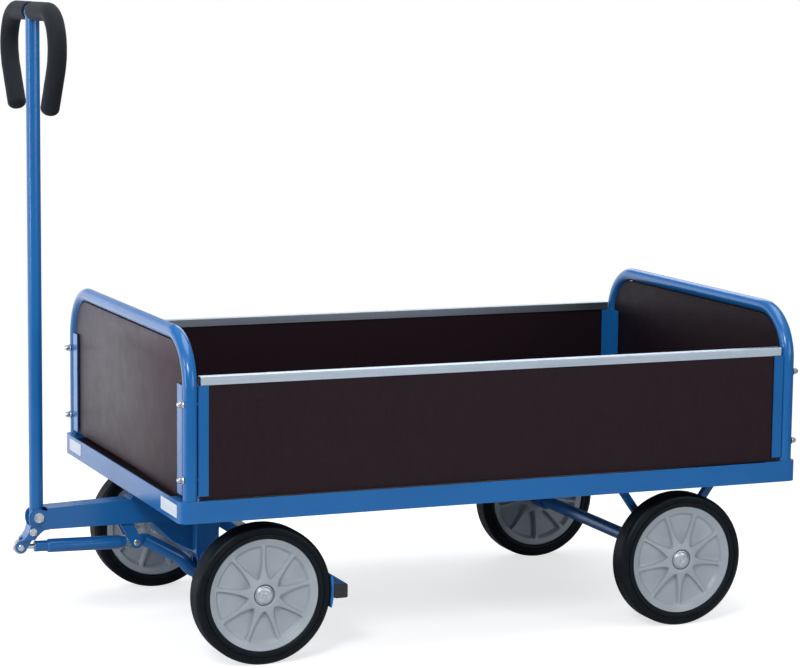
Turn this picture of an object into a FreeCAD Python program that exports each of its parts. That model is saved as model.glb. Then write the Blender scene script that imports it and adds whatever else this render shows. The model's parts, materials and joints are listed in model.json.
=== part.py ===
import FreeCAD, Part
import math
import os
import re

import Sketcher
from FreeCAD import Placement, Rotation, Vector

# Four-wheel platform handcart with a turntable front axle and an upright drawbar.
# Millimetres. Lengths below are taken from the middle of the platform, at ground level:
# +Z is up and the drawbar is at the -X end. -Y is the right-hand side for a person who
# stands at the drawbar and faces the cart.
# Each finished sub-part is then moved along X by row_shift, so that the origin lies on
# the ground below the middle of the overall length.

DIMENSIONS = {
    "row_shift": 97.725,
    # platform
    "frame_length": 1210, "frame_width": 740, "frame_top": 306, "frame_height": 38,
    "frame_wall": 3, "frame_corner": 18, "ledge_width": 23, "fit_gap": 0.5, "weld_gap": 0.1,
    "board_thick": 14, "field_rise": 1, "field_half_length": 566, "field_half_width": 340,
    "notch_size": 62,
    "member_width": 40, "member_wall": 3, "member_height": 19, "member_spread": 100,
    "socket_size": 61.5, "socket_thick": 4, "spigot_high": 24, "spigot_play": 0.3,
    # end tubes, end panels, side boards
    "tube_radius": 12.5, "tube_wall": 2, "end_tube_inset": 21, "side_tube_inset": 13,
    "end_tube_top": 587, "end_tube_bend": 90,
    "panel_thick": 12, "panel_half_width": 340, "panel_bottom": 311, "panel_top": 570,
    "panel_corner": 72,
    "side_half_length": 565, "side_inner": 350, "side_thick": 12, "side_bottom": 307,
    "side_top": 519, "cap_wall": 1.5, "cap_depth": 15, "cap_corner": 1.2, "cap_overhang": 2,
    # folded corner profiles and their screws
    "sheet": 2.5, "profile_bottom": 314, "profile_top": 505, "side_flange_end": 553,
    "end_flange_end": 317, "wall_play_out": 1, "wall_play_in": 1.7, "panel_play": 1.6,
    "profile_gap": 0.6,
    "screw_low": 343, "screw_high": 474, "screw_radius": 3, "hole_play": 0.2,
    "screw_head": 5.8, "screw_head_thick": 1.5, "screw_end": 36,
    "nut_flange": 7, "nut_flange_thick": 1.6, "nut_dome": 4.9, "nut_flats": 5.9,
    "nut_flats_high": 4.6, "nut_high": 11, "nut_bore_deep": 8,
    # wheels and axles
    "wheel_radius": 125, "tyre_seat": 100.5, "tyre_half": 24, "rim_half": 21,
    "ring_inner": 84, "hub_radius": 30, "web_low": 6, "web_high": 11,
    "spoke_root": 22, "spoke_tip": 5, "spoke_half": 19, "spoke_count": 9,
    "recess_radius": 20.5, "recess_floor": 18, "bush_radius": 13.5,
    "axle_radius": 12.5, "stub_radius": 10, "run_play": 0.05, "side_play": 0.3,
    "washer_rim": 4, "washer_thick": 2.5, "stub_end": 20, "cap_radius": 17.3,
    "axle_high": 125, "front_axle_back": 441, "rear_axle_ahead": 385,
    "front_wheel_out": 317, "rear_wheel_out": 312,
    "strut_spread": 108, "strut_out": 265, "strut_half_width": 8, "strut_knee": 9,
    "strut_drop": 138, "strut_thick": 14, "foot_half": 18, "foot_thick": 4, "sleeve_long": 30,
    "sleeve_wall": 5,
    # turntable
    "plate_radius": 140, "plate_bore": 8.1, "plate_bevel": 2, "upper_plate_low": 261,
    "upper_plate_high": 271, "lower_plate_low": 251, "lower_plate_high": 260.6,
    "king_radius": 8, "king_long": 37, "king_head": 13, "king_head_thick": 8,
    "king_nut_thick": 10,
    # drawbar beam and centre post
    "beam_half": 20, "beam_wall": 3, "beam_front": 744, "beam_rear": 395, "beam_low": 200,
    "beam_front_high": 239.2, "beam_mid_back": 590, "beam_mid_high": 244.2, "beam_step": 7,
    "pivot_back": 760, "pivot_high": 222.5, "king_access": 14.1,
    "post_half": 22.5, "post_bottom": 119, "post_corner": 2,
    "post_notch_high": 134, "post_notch_deep": 8.5,
    "gusset_half": 4, "gusset_back": 546, "gusset_knee_back": 502, "gusset_knee_high": 157.2,
    "gusset_low": 136.5,
    "guide_bottom": 76, "guide_top": 150, "guide_inner": 13.3, "guide_wall": 3.2,
    "guide_half": 18,
    # drawbar and handle
    "drawbar_back": 760, "drawbar_foot": 209, "handle_high": 1131,
    "bow_out": 166, "bow_corner": 62, "bow_knee_high": 1048, "bow_knee": 80,
    "bow_end_out": 116, "bow_end_high": 966, "grip_radius": 17, "grip_gap": 10.5,
    "grip_play": 0.12, "grip_over": 0.016,
    "pivot_bush_radius": 8, "pivot_bush_half": 12.7, "pivot_bolt_radius": 5,
    "pivot_head": 9.4, "pivot_head_thick": 6.4,
    # brake lever
    "lever_outer": 16.4, "lever_inner": 12.9, "fork_plate_outer": 10.2,
    "fork_plate_inner": 6.6, "lever_neck": 38, "lever_end_radius": 10,
    "stop_back": 10, "stop_down": 26.5, "stop_radius": 4, "stop_head": 7.2,
    "stop_head_thick": 5, "pin_back": 790.5, "pin_high": 167.5, "pin_radius": 5,
    "pin_head": 6.6, "pin_head_thick": 2.2,
    # brake strut
    "eye_back": 575, "eye_high": 162.5, "eye_radius": 12.5, "eye_half": 6,
    "strut_length": 215.558, "stud_radius": 4.5, "stud_end": 37.5, "stud_play": 0.05,
    "collar_start": 26, "collar_end": 52, "collar_radius": 10, "strut_radius": 12.5,
    "fork_back": 18, "fork_floor": 12.5, "fork_inner": 5, "fork_outer": 9,
    "fork_radius": 10.5, "fork_stem": 18, "open_play": 1.2,
    # hanger links
    "hanger_back": 600, "hanger_high": 210, "hanger_run": 25, "hanger_drop": 47.5,
    "hanger_inner": 10.5, "hanger_outer": 14.5, "hanger_radius": 11,
    "hanger_slot_front": 614, "hanger_slot_rear": 573, "hanger_slot_half": 15.5,
    # brake frame
    "bow_pin_radius": 4, "bow_pin_head": 6.5, "bow_pin_head_thick": 2,
    "bow_start_back": 558.2, "bow_start_high": 165.4, "bow_front_back": 487,
    "bow_front_high": 125, "bow_low_back": 462, "bow_low": 94.5, "bow_rear_back": 420,
    "bow_end_back": 310.5, "bow_join_high": 117, "tongue_half": 4,
    "bar_back": 298.5, "bar_high": 122, "bar_half": 12.5, "bar_corner": 2,
    "bar_wall": 2, "bar_reach": 336, "bar_cap": 4, "bar_cap_corner": 3, "bar_stem": 18,
    "shoe_gap": 0.4, "shoe_thick": 4.6, "shoe_half": 22, "shoe_ahead": 124,
    "shoe_top": 32, "shoe_bottom": 26,
    # blank plates on the front of the frame
    "blank_thick": 0.6, "blank_corner": 2,
}

AXIS_X = Vector(1, 0, 0)
AXIS_Y = Vector(0, 1, 0)
AXIS_Z = Vector(0, 0, 1)

doc = FreeCAD.newDocument("handcart")
sheet = doc.addObject("Spreadsheet::Sheet", "dims")
for row, (alias, value) in enumerate(DIMENSIONS.items(), 1):
    sheet.set("A%d" % row, alias)
    sheet.set("B%d" % row, str(value))
    sheet.setAlias("B%d" % row, alias)
doc.recompute()

nodes = []


# ---------------------------------------------------------------- helpers

def bound(text):
    """Turn a formula in plain aliases into one that reads the sheet."""
    return re.sub("[a-z_]+", lambda word: "dims." + word.group(), str(text))


def number(text):
    """The present value of a formula."""
    return float(sheet.evalExpression(bound(text)))


def place(obj, x=0, y=0, z=0, turns=()):
    """Put an object at formulas x, y, z after turning it about the row axes in order."""
    rotation = Rotation()
    for axis, angle in turns:
        rotation = Rotation(axis, angle).multiply(rotation)
    obj.Placement = Placement(Vector(0, 0, 0), rotation)
    for coordinate, text in (("x", x), ("y", y), ("z", z)):
        obj.setExpression("Placement.Base." + coordinate, bound(text))
    return obj


def new_body(label):
    body = doc.addObject("PartDesign::Body", label)
    body.Label = label
    return body


def finish(obj):
    """Register a sub-part, and move it from the platform's middle to the row's origin."""
    bound_x = [text for path, text in obj.ExpressionEngine if path.endswith("Placement.Base.x")]
    obj.setExpression("Placement.Base.x", "%s + dims.row_shift" % (bound_x or ["0"])[0])
    nodes.append(obj)
    return obj


def new_sketch(body, plane, offset=0):
    """A sketch on one of the body's own origin planes, lifted by a formula."""
    sketch = body.newObject("Sketcher::SketchObject", "sketch")
    support = [f for f in body.Origin.OriginFeatures if f.Role == plane][0]
    sketch.AttachmentSupport = [(support, "")]
    sketch.MapMode = "FlatFace"
    sketch.setExpression("AttachmentOffset.Base.z", bound(offset))
    return sketch


def tie(sketch, geometry, point, x, y):
    """Hold a point of the sketch at formulas x and y from its origin."""
    for kind, text in (("DistanceX", x), ("DistanceY", y)):
        value = number(text)
        index = sketch.addConstraint(Sketcher.Constraint(kind, -1, 1, geometry, point, value))
        sketch.setExpression("Constraints[%d]" % index, bound(text))


def circle(sketch, radius, x=0, y=0):
    centre = Vector(number(x), number(y), 0)
    index = sketch.addGeometry(Part.Circle(centre, AXIS_Z, number(radius)), False)
    tie(sketch, index, 3, x, y)
    limit = sketch.addConstraint(Sketcher.Constraint("Radius", index, number(radius)))
    sketch.setExpression("Constraints[%d]" % limit, bound(radius))


def corner_cut(before, at, after, radius):
    """Both ends and the centre of the arc that rounds a corner."""
    back = (before - at).normalize()
    ahead = (after - at).normalize()
    half = back.getAngle(ahead) / 2
    run = radius / math.tan(half)
    middle = (back + ahead).normalize()
    centre = at + middle * (radius / math.sin(half))
    start = at + back * run
    end = at + ahead * run
    return start, end, centre


def outline(sketch, corners, closed=True):
    """Straight edges through corners (x, y) or (x, y, round), all of them formulas.

    A rounded corner keeps its sharp point as construction, so every size stays
    bound to the sheet."""
    points = [Vector(number(c[0]), number(c[1]), 0) for c in corners]
    count = len(corners)
    rounds = {}
    for i, corner in enumerate(corners):
        inner = closed or 0 < i < count - 1
        if len(corner) == 3 and inner:
            rounds[i] = corner_cut(points[i - 1], points[i], points[(i + 1) % count],
                                   number(corner[2]))
    lines = []
    for i in range(count if closed else count - 1):
        j = (i + 1) % count
        start = rounds[i][1] if i in rounds else points[i]
        end = rounds[j][0] if j in rounds else points[j]
        lines.append(sketch.addGeometry(Part.LineSegment(start, end), False))
    for i in range(count):
        if i in rounds:
            round_corner(sketch, corners[i], points[i], rounds[i], lines[i - 1], lines[i])
        elif closed or 0 < i < count - 1:
            sketch.addConstraint(Sketcher.Constraint("Coincident", lines[i - 1], 2, lines[i], 1))
            tie(sketch, lines[i], 1, corners[i][0], corners[i][1])
    if not closed:
        tie(sketch, lines[0], 1, corners[0][0], corners[0][1])
        tie(sketch, lines[-1], 2, corners[-1][0], corners[-1][1])


def round_corner(sketch, corner, point, cut, line_in, line_out):
    """Join two edges by a tangent arc, and tie their crossing point to the sheet."""
    start, end, centre = cut
    radius = number(corner[2])
    turn = (start - centre).cross(end - centre).z
    first, last = (start, end) if turn > 0 else (end, start)
    angles = [math.atan2(p.y - centre.y, p.x - centre.x) for p in (first, last)]
    if angles[1] < angles[0]:
        angles[1] += 2 * math.pi
    ring = Part.Circle(centre, AXIS_Z, radius)
    arc = sketch.addGeometry(Part.ArcOfCircle(ring, angles[0], angles[1]), False)
    arc_in, arc_out = (1, 2) if turn > 0 else (2, 1)
    sketch.addConstraint(Sketcher.Constraint("Tangent", line_in, 2, arc, arc_in))
    sketch.addConstraint(Sketcher.Constraint("Tangent", arc, arc_out, line_out, 1))
    limit = sketch.addConstraint(Sketcher.Constraint("Radius", arc, radius))
    sketch.setExpression("Constraints[%d]" % limit, bound(corner[2]))
    tip = sketch.addGeometry(Part.Point(point), True)
    sketch.addConstraint(Sketcher.Constraint("PointOnObject", tip, 1, line_in))
    sketch.addConstraint(Sketcher.Constraint("PointOnObject", tip, 1, line_out))
    tie(sketch, tip, 1, corner[0], corner[1])


def hexagon(sketch, radius, turn=0):
    outline(sketch, [("(%s) * %.6f" % (radius, math.cos(math.radians(60 * k + turn))),
                      "(%s) * %.6f" % (radius, math.sin(math.radians(60 * k + turn))))
                     for k in range(6)])


def rectangle(sketch, x_low, x_high, y_low, y_high, corner=None):
    points = [(x_low, y_low), (x_high, y_low), (x_high, y_high), (x_low, y_high)]
    if corner is not None:
        points = [p + (corner,) for p in points]
    outline(sketch, points)


def pad(body, sketch, length, symmetric=False, downward=False):
    feature = body.newObject("PartDesign::Pad", "pad")
    feature.Profile = sketch
    feature.setExpression("Length", bound(length))
    feature.SideType = "Symmetric" if symmetric else "One side"
    feature.Reversed = downward
    doc.recompute()
    return feature


def pocket(body, sketch, length, symmetric=False, upward=False):
    """Cut a profile out of the body, and make sure that it cuts something."""
    before = body.Shape.Volume
    feature = body.newObject("PartDesign::Pocket", "pocket")
    feature.Profile = sketch
    feature.setExpression("Length", bound(length))
    feature.SideType = "Symmetric" if symmetric else "One side"
    feature.Reversed = upward
    doc.recompute()
    if body.Shape.Volume > before - 1:
        raise RuntimeError("a pocket in %s cuts nothing" % body.Label)
    return feature


def revolve(body, corners, groove=False):
    """Turn an outline of (radius, height) corners about the body's own Z axis."""
    sketch = new_sketch(body, "XZ_Plane")
    outline(sketch, corners)
    kind = "PartDesign::Groove" if groove else "PartDesign::Revolution"
    feature = body.newObject(kind, "turned")
    feature.Profile = sketch
    feature.ReferenceAxis = (sketch, ["V_Axis"])
    feature.Angle = 360
    doc.recompute()
    return feature


def swept_tube(body, plane, path, outer, inner):
    """A round tube along an open path in one of the body's own planes."""
    spine = new_sketch(body, plane)
    outline(spine, path, closed=False)
    ring = body.newObject("Sketcher::SketchObject", "ring")
    ring.AttachmentSupport = [(spine, "Edge1")]
    ring.MapMode = "NormalToEdge"
    ring.MapPathParameter = 0
    doc.recompute()
    circle(ring, outer)
    circle(ring, inner)
    sweep = body.newObject("PartDesign::AdditivePipe", "pipe")
    sweep.Profile = ring
    sweep.Spine = (spine, ["Edge%d" % (i + 1) for i in range(2 * len(path) - 3)])
    sweep.Transition = "Transformed"
    doc.recompute()


def mirrored(source, normal):
    copy = doc.addObject("Part::Mirroring", source.Label + "_mirror")
    copy.Source = source
    copy.Normal = normal
    return copy


def group(label, members):
    """Equal pieces that share one node as separate solids."""
    compound = doc.addObject("Part::Compound", label)
    compound.Label = label
    compound.Links = members
    return finish(compound)


def four_corners(label, master):
    """The master and its copies mirrored to the platform's other three corners."""
    across = mirrored(master, AXIS_Y)
    return group(label, [master, across, mirrored(master, AXIS_X), mirrored(across, AXIS_X)])


def both_sides(label, master):
    return group(label, [master, mirrored(master, AXIS_Y)])


# ---------------------------------------------------------------- platform

FRAME_LOW = "(frame_top - frame_height)"


def deck_frame():
    """Welded rail: an upright wall with a narrow ledge turned inwards at its foot."""
    body = new_body("deck_frame")
    wall = new_sketch(body, "XY_Plane")
    half = ("frame_length / 2", "frame_width / 2")
    rectangle(wall, "-" + half[0], half[0], "-" + half[1], half[1], "frame_corner")
    inner = [text + " - frame_wall" for text in half]
    rectangle(wall, "-(%s)" % inner[0], inner[0], "-(%s)" % inner[1], inner[1],
              "frame_corner - frame_wall")
    pad(body, wall, "frame_height")
    ledge = new_sketch(body, "XY_Plane")
    outer = [text + " - frame_wall / 2" for text in half]
    rectangle(ledge, "-(%s)" % outer[0], outer[0], "-(%s)" % outer[1], outer[1],
              "frame_corner - frame_wall / 2")
    edge = [text + " - ledge_width" for text in half]
    rectangle(ledge, "-(%s)" % edge[0], edge[0], "-(%s)" % edge[1], edge[1])
    pad(body, ledge, "frame_wall")
    place(body, z=FRAME_LOW)
    finish(body)


def cross_members():
    """Box tubes across the frame, resting on its ledge, below the deck board."""
    members = []
    for middle in ("-front_axle_back - member_spread", "-front_axle_back + member_spread", "0",
                   "rear_axle_ahead - strut_spread", "rear_axle_ahead + strut_spread"):
        body = new_body("member")
        section = new_sketch(body, "XZ_Plane")
        rectangle(section, "-member_width / 2", "member_width / 2", 0, "member_height")
        rectangle(section, "-member_width / 2 + member_wall", "member_width / 2 - member_wall",
                  "member_wall", "member_height - member_wall")
        pad(body, section, "frame_width - 2 * (frame_wall + fit_gap)", symmetric=True)
        place(body, x=middle, z=FRAME_LOW + " + frame_wall")
        members.append(body)
    group("cross_members", members)


def notched(sketch, half_length, half_width):
    """A rectangle whose four corners are cut away around the corner sockets."""
    x_in = "frame_length / 2 - frame_wall - notch_size"
    y_in = "frame_width / 2 - frame_wall - notch_size"
    quarter = [(half_length, y_in), (x_in, y_in), (x_in, half_width)]
    points = list(quarter)
    points += [("-(%s)" % x, y) for x, y in reversed(quarter)]
    points += [("-(%s)" % x, "-(%s)" % y) for x, y in quarter]
    points += [(x, "-(%s)" % y) for x, y in reversed(quarter)]
    outline(sketch, points)


def deck_board():
    """Coated plywood deck with a slightly raised load field between the walls."""
    body = new_body("deck_board")
    lower = new_sketch(body, "XY_Plane")
    notched(lower, "frame_length / 2 - frame_wall - fit_gap",
            "frame_width / 2 - frame_wall - fit_gap")
    pad(body, lower, "board_thick")
    field = new_sketch(body, "XY_Plane", "board_thick")
    notched(field, "field_half_length", "field_half_width")
    pad(body, field, "field_rise")
    place(body, z="frame_top - board_thick - 2 * field_rise")
    finish(body)


def corner_sockets():
    """A plate in each frame corner with a spigot that an end tube drops over."""
    body = new_body("corner_socket")
    plate = new_sketch(body, "XY_Plane")
    x_out = "frame_length / 2 - frame_wall"
    y_out = "frame_width / 2 - frame_wall"
    outline(plate, [(x_out + " - socket_size", y_out + " - socket_size"),
                    (x_out, y_out + " - socket_size"),
                    (x_out, y_out, "frame_corner - frame_wall"),
                    (x_out + " - socket_size", y_out)])
    pad(body, plate, "socket_thick")
    spigot = new_sketch(body, "XY_Plane", "socket_thick")
    circle(spigot, "tube_radius - tube_wall - spigot_play",
           "frame_length / 2 - end_tube_inset", "frame_width / 2 - side_tube_inset")
    pad(body, spigot, "spigot_high")
    place(body, z="frame_top - socket_thick")
    four_corners("corner_sockets", body)


# ---------------------------------------------------------------- ends and walls

TUBE_X = "(frame_length / 2 - end_tube_inset)"
TUBE_Y = "(frame_width / 2 - side_tube_inset)"
PROFILE_X = "(%s - tube_radius - weld_gap)" % TUBE_X
PROFILE_Y = "(%s - tube_radius - profile_gap)" % TUBE_Y


def end_tube(label, side):
    """An upright tube bent over the platform's end, drilled for the profile screws."""
    body = new_body(label)
    bend = "end_tube_bend"
    path = [("-" + TUBE_Y, 0), ("-" + TUBE_Y, "end_tube_top - frame_top", bend),
            (TUBE_Y, "end_tube_top - frame_top", bend), (TUBE_Y, 0)]
    swept_tube(body, "YZ_Plane", path, "tube_radius", "tube_radius - tube_wall")
    holes = new_sketch(body, "YZ_Plane")
    for level in ("screw_low", "screw_high"):
        for y in ("-" + TUBE_Y, TUBE_Y):
            circle(holes, "screw_radius + hole_play", y, level + " - frame_top")
    pocket(body, holes, "4 * tube_radius", symmetric=True)
    place(body, x="%d * %s" % (side, TUBE_X), z="frame_top")
    finish(body)


def end_panel(label, side):
    """Coated board inside the arch of an end tube."""
    body = new_body(label)
    shape = new_sketch(body, "YZ_Plane")
    outline(shape, [("-panel_half_width", "panel_bottom"), ("panel_half_width", "panel_bottom"),
                    ("panel_half_width", "panel_top", "panel_corner"),
                    ("-panel_half_width", "panel_top", "panel_corner")])
    pad(body, shape, "panel_thick", symmetric=True)
    place(body, x="%d * %s" % (side, TUBE_X))
    finish(body)


def corner_profiles():
    """Folded sheet in each corner: one channel for a side board, one for an end panel."""
    body = new_body("corner_profile")
    section = new_sketch(body, "XY_Plane")
    wall_out = "(side_inner + side_thick + wall_play_out)"
    wall_in = "(side_inner - wall_play_in)"
    panel_out = "(%s + panel_thick / 2 + panel_play)" % TUBE_X
    panel_in = "(%s - panel_thick / 2 - panel_play)" % TUBE_X
    outline(section, [
        ("side_flange_end", wall_out + " + sheet"), (PROFILE_X, wall_out + " + sheet"),
        (PROFILE_X, PROFILE_Y), (panel_out + " + sheet", PROFILE_Y),
        (panel_out + " + sheet", "end_flange_end"), (panel_out, "end_flange_end"),
        (panel_out, PROFILE_Y + " - sheet"), (panel_in, PROFILE_Y + " - sheet"),
        (panel_in, "end_flange_end"), (panel_in + " - sheet", "end_flange_end"),
        (panel_in + " - sheet", PROFILE_Y + " - sheet"),
        (PROFILE_X + " - sheet", PROFILE_Y + " - sheet"),
        (PROFILE_X + " - sheet", wall_in + " - sheet"),
        ("side_flange_end", wall_in + " - sheet"), ("side_flange_end", wall_in),
        (PROFILE_X + " - sheet", wall_in), (PROFILE_X + " - sheet", wall_out),
        ("side_flange_end", wall_out)])
    pad(body, section, "profile_top - profile_bottom")
    holes = new_sketch(body, "YZ_Plane")
    for level in ("screw_low", "screw_high"):
        circle(holes, "screw_radius + hole_play", TUBE_Y, level + " - profile_bottom")
    pocket(body, holes, "4 * frame_length", symmetric=True)
    place(body, z="profile_bottom")
    four_corners("corner_profiles", body)


def corner_fasteners():
    """Flat-headed screws from inside the profiles, and flanged dome nuts outside."""
    screws = []
    nuts = []
    turns = ((AXIS_Y, 90),)
    for level in ("screw_low", "screw_high"):
        screw = new_body("corner_screw")
        revolve(screw, [(0, 0), ("screw_head", 0), ("screw_head", "screw_head_thick / 2"),
                        ("screw_head - 1", "screw_head_thick"),
                        ("screw_radius", "screw_head_thick"), ("screw_radius", "screw_end"),
                        (0, "screw_end")])
        place(screw, x=PROFILE_X + " - sheet - screw_head_thick", y=TUBE_Y, z=level, turns=turns)
        nut = new_body("dome_nut")
        revolve(nut, [(0, 0), ("nut_flange", 0), ("nut_flange", "nut_flange_thick"),
                      ("nut_dome", "2 * nut_flange_thick"), ("nut_dome", "nut_high - 4"),
                      ("nut_dome * 0.82", "nut_high - 2"), ("nut_dome * 0.42", "nut_high - 0.5"),
                      (0, "nut_high")])
        flats = new_sketch(nut, "XY_Plane", "nut_flange_thick")
        hexagon(flats, "nut_flats")
        pad(nut, flats, "nut_flats_high")
        bore = new_sketch(nut, "XY_Plane")
        circle(bore, "screw_radius + run_play")
        pocket(nut, bore, "nut_bore_deep", upward=True)
        place(nut, x=TUBE_X + " + tube_radius + run_play", y=TUBE_Y, z=level, turns=turns)
        for piece, pieces in ((screw, screws), (nut, nuts)):
            across = mirrored(piece, AXIS_Y)
            pieces += [piece, across, mirrored(piece, AXIS_X), mirrored(across, AXIS_X)]
    group("corner_screws", screws)
    group("corner_dome_nuts", nuts)


def side_wall(name, side):
    """A board that slides down into the corner profiles, with a metal strip on top."""
    board = new_body(name + "_side_board")
    face = new_sketch(board, "XZ_Plane")
    rectangle(face, "-side_half_length", "side_half_length", "side_bottom", "side_top")
    pad(board, face, "side_thick", symmetric=True)
    middle = "%d * (side_inner + side_thick / 2)" % side
    place(board, y=middle)
    finish(board)
    cap = new_body(name + "_side_cap")
    half_out = "side_thick / 2 + fit_gap + cap_wall"
    half_in = "side_thick / 2 + fit_gap"
    section = new_sketch(cap, "YZ_Plane")
    outline(section, [("-(%s)" % half_out, 0), ("-(%s)" % half_in, 0),
                      ("-(%s)" % half_in, "cap_depth - cap_wall"),
                      (half_in, "cap_depth - cap_wall"), (half_in, 0), (half_out, 0),
                      (half_out, "cap_depth", "cap_corner"),
                      ("-(%s)" % half_out, "cap_depth", "cap_corner")])
    pad(cap, section, "2 * (side_half_length + cap_overhang)", symmetric=True)
    place(cap, y=middle, z="side_top + fit_gap + cap_wall - cap_depth")
    finish(cap)


# ---------------------------------------------------------------- wheels and axles

# Half of the tyre's section as (radius, half width): a side wall with a step, then a
# tread with one groove in the middle and one on each side.
TYRE_HALF = [("tyre_seat", 19), ("tyre_seat + 2.5", 23), (112, "tyre_half"), (113, 22.6),
             (116, 22.4), (117, 23.2), ("wheel_radius - 3", 21.5), ("wheel_radius", 17),
             ("wheel_radius", 12), ("wheel_radius - 2", 11), ("wheel_radius - 2", 9),
             ("wheel_radius", 8), ("wheel_radius", 2), ("wheel_radius - 2", 1)]


def wheel(name, x, side, out, phase):
    """Solid tyre, nine-spoke rim and plain bush, turned about the local Z axis."""
    turns = ((AXIS_Z, phase), (AXIS_X, -90 * side))
    where = {"x": x, "y": "%d * %s" % (side, out), "z": "axle_high", "turns": turns}
    tyre = new_body(name + "_tyre")
    revolve(tyre, TYRE_HALF + [(r, "-(%s)" % w) for r, w in reversed(TYRE_HALF)])
    rim = new_body(name + "_rim")
    revolve(rim, [("bush_radius", "-tyre_half"), ("hub_radius", "-tyre_half"),
                  ("hub_radius", "web_low"), ("ring_inner", "web_low"),
                  ("ring_inner", "-rim_half"), ("tyre_seat", "-rim_half"),
                  ("tyre_seat", "rim_half"), ("ring_inner + 3", "rim_half"),
                  ("ring_inner", "rim_half - 2"), ("ring_inner", "web_high + 1"),
                  ("ring_inner - 8", "web_high - 1"), ("hub_radius + 12", "web_high - 1"),
                  ("hub_radius", "web_high + 1"), ("hub_radius", "rim_half"),
                  ("recess_radius", "rim_half + 1"), ("recess_radius", "recess_floor"),
                  ("bush_radius", "recess_floor")])
    rib = new_sketch(rim, "XY_Plane")
    outline(rib, [("hub_radius - 2", "-spoke_root / 2"), ("ring_inner - 9", "-spoke_tip / 2"),
                  ("ring_inner + 2", "-spoke_tip"), ("ring_inner + 2", "spoke_tip"),
                  ("ring_inner - 9", "spoke_tip / 2"), ("hub_radius - 2", "spoke_root / 2")])
    spoke = pad(rim, rib, "2 * spoke_half", symmetric=True)
    pattern = rim.newObject("PartDesign::PolarPattern", "spokes")
    pattern.Originals = [spoke]
    pattern.Axis = ([f for f in rim.Origin.OriginFeatures if f.Role == "Z_Axis"][0], [""])
    pattern.Angle = 360
    pattern.setExpression("Occurrences", "dims.spoke_count")
    rim.Tip = pattern
    bush = new_body(name + "_bush")
    revolve(bush, [("stub_radius + run_play", "-tyre_half"), ("bush_radius", "-tyre_half"),
                   ("bush_radius", "recess_floor"), ("stub_radius + run_play", "recess_floor")])
    for body in (tyre, rim, bush):
        place(body, **where)
        finish(body)


def axle(name, x, out):
    """Round bar turned down at both ends, its thrust washers and push-on hub caps."""
    shoulder = "(%s - tyre_half - side_play - washer_thick)" % out
    tip = "(%s + stub_end)" % out
    bar = new_body(name + "_axle")
    revolve(bar, [(0, "-" + tip), ("stub_radius - 1", "-" + tip),
                  ("stub_radius", "-(%s - 1)" % tip), ("stub_radius", "-" + shoulder),
                  ("axle_radius", "-" + shoulder), ("axle_radius", shoulder),
                  ("stub_radius", shoulder), ("stub_radius", "%s - 1" % tip),
                  ("stub_radius - 1", tip), (0, tip)])
    place(bar, x=x, z="axle_high", turns=((AXIS_X, -90),))
    finish(bar)
    washer = new_body("thrust_washer")
    revolve(washer, [("stub_radius + run_play", 0), ("bush_radius + washer_rim", 0),
                     ("bush_radius + washer_rim", "washer_thick"),
                     ("stub_radius + run_play", "washer_thick")])
    place(washer, x=x, y=shoulder, z="axle_high", turns=((AXIS_X, -90),))
    both_sides(name + "_axle_washers", washer)
    cap = new_body("push_cap")
    revolve(cap, [("stub_radius + run_play", 0), ("cap_radius", 0), ("cap_radius", 1.4),
                  ("cap_radius - 1.8", 2.2), ("cap_radius - 3.5", 4.4), ("cap_radius / 2", 5.6),
                  (0, 6), (0, 4.2), ("cap_radius / 2 - 0.6", 3.9),
                  ("stub_radius + run_play", 3)])
    place(cap, x=x, y="%s + recess_floor + side_play" % out, z="axle_high",
          turns=((AXIS_X, -90),))
    both_sides(name + "_hub_caps", cap)


def rear_axle_struts():
    """A V of flat bars each side, from two cross members down to a sleeve on the axle."""
    body = new_body("rear_strut")
    hub_drop = "axle_high - frame_top + frame_height - frame_wall"
    for side in (-1, 1):
        leg = new_sketch(body, "XZ_Plane")
        foot = "%d * strut_spread" % side
        knee = "%d * strut_knee" % side
        outline(leg, [(foot + " - strut_half_width", 0), (foot + " + strut_half_width", 0),
                      (knee + " + strut_half_width", "-strut_drop"),
                      (knee + " - strut_half_width", "-strut_drop")])
        pad(body, leg, "strut_thick", symmetric=True)
        plate = new_sketch(body, "XZ_Plane")
        rectangle(plate, foot + " - foot_half", foot + " + foot_half", "-foot_thick", "0")
        pad(body, plate, "sleeve_long", symmetric=True)
    sleeve = new_sketch(body, "XZ_Plane")
    circle(sleeve, "axle_radius + sleeve_wall", 0, hub_drop)
    pad(body, sleeve, "sleeve_long", symmetric=True)
    bore = new_sketch(body, "XZ_Plane")
    circle(bore, "axle_radius + run_play", 0, hub_drop)
    pocket(body, bore, "2 * sleeve_long", symmetric=True)
    place(body, x="rear_axle_ahead", y="strut_out", z=FRAME_LOW + " + frame_wall")
    both_sides("rear_axle_struts", body)


# ---------------------------------------------------------------- turntable and beam

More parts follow.
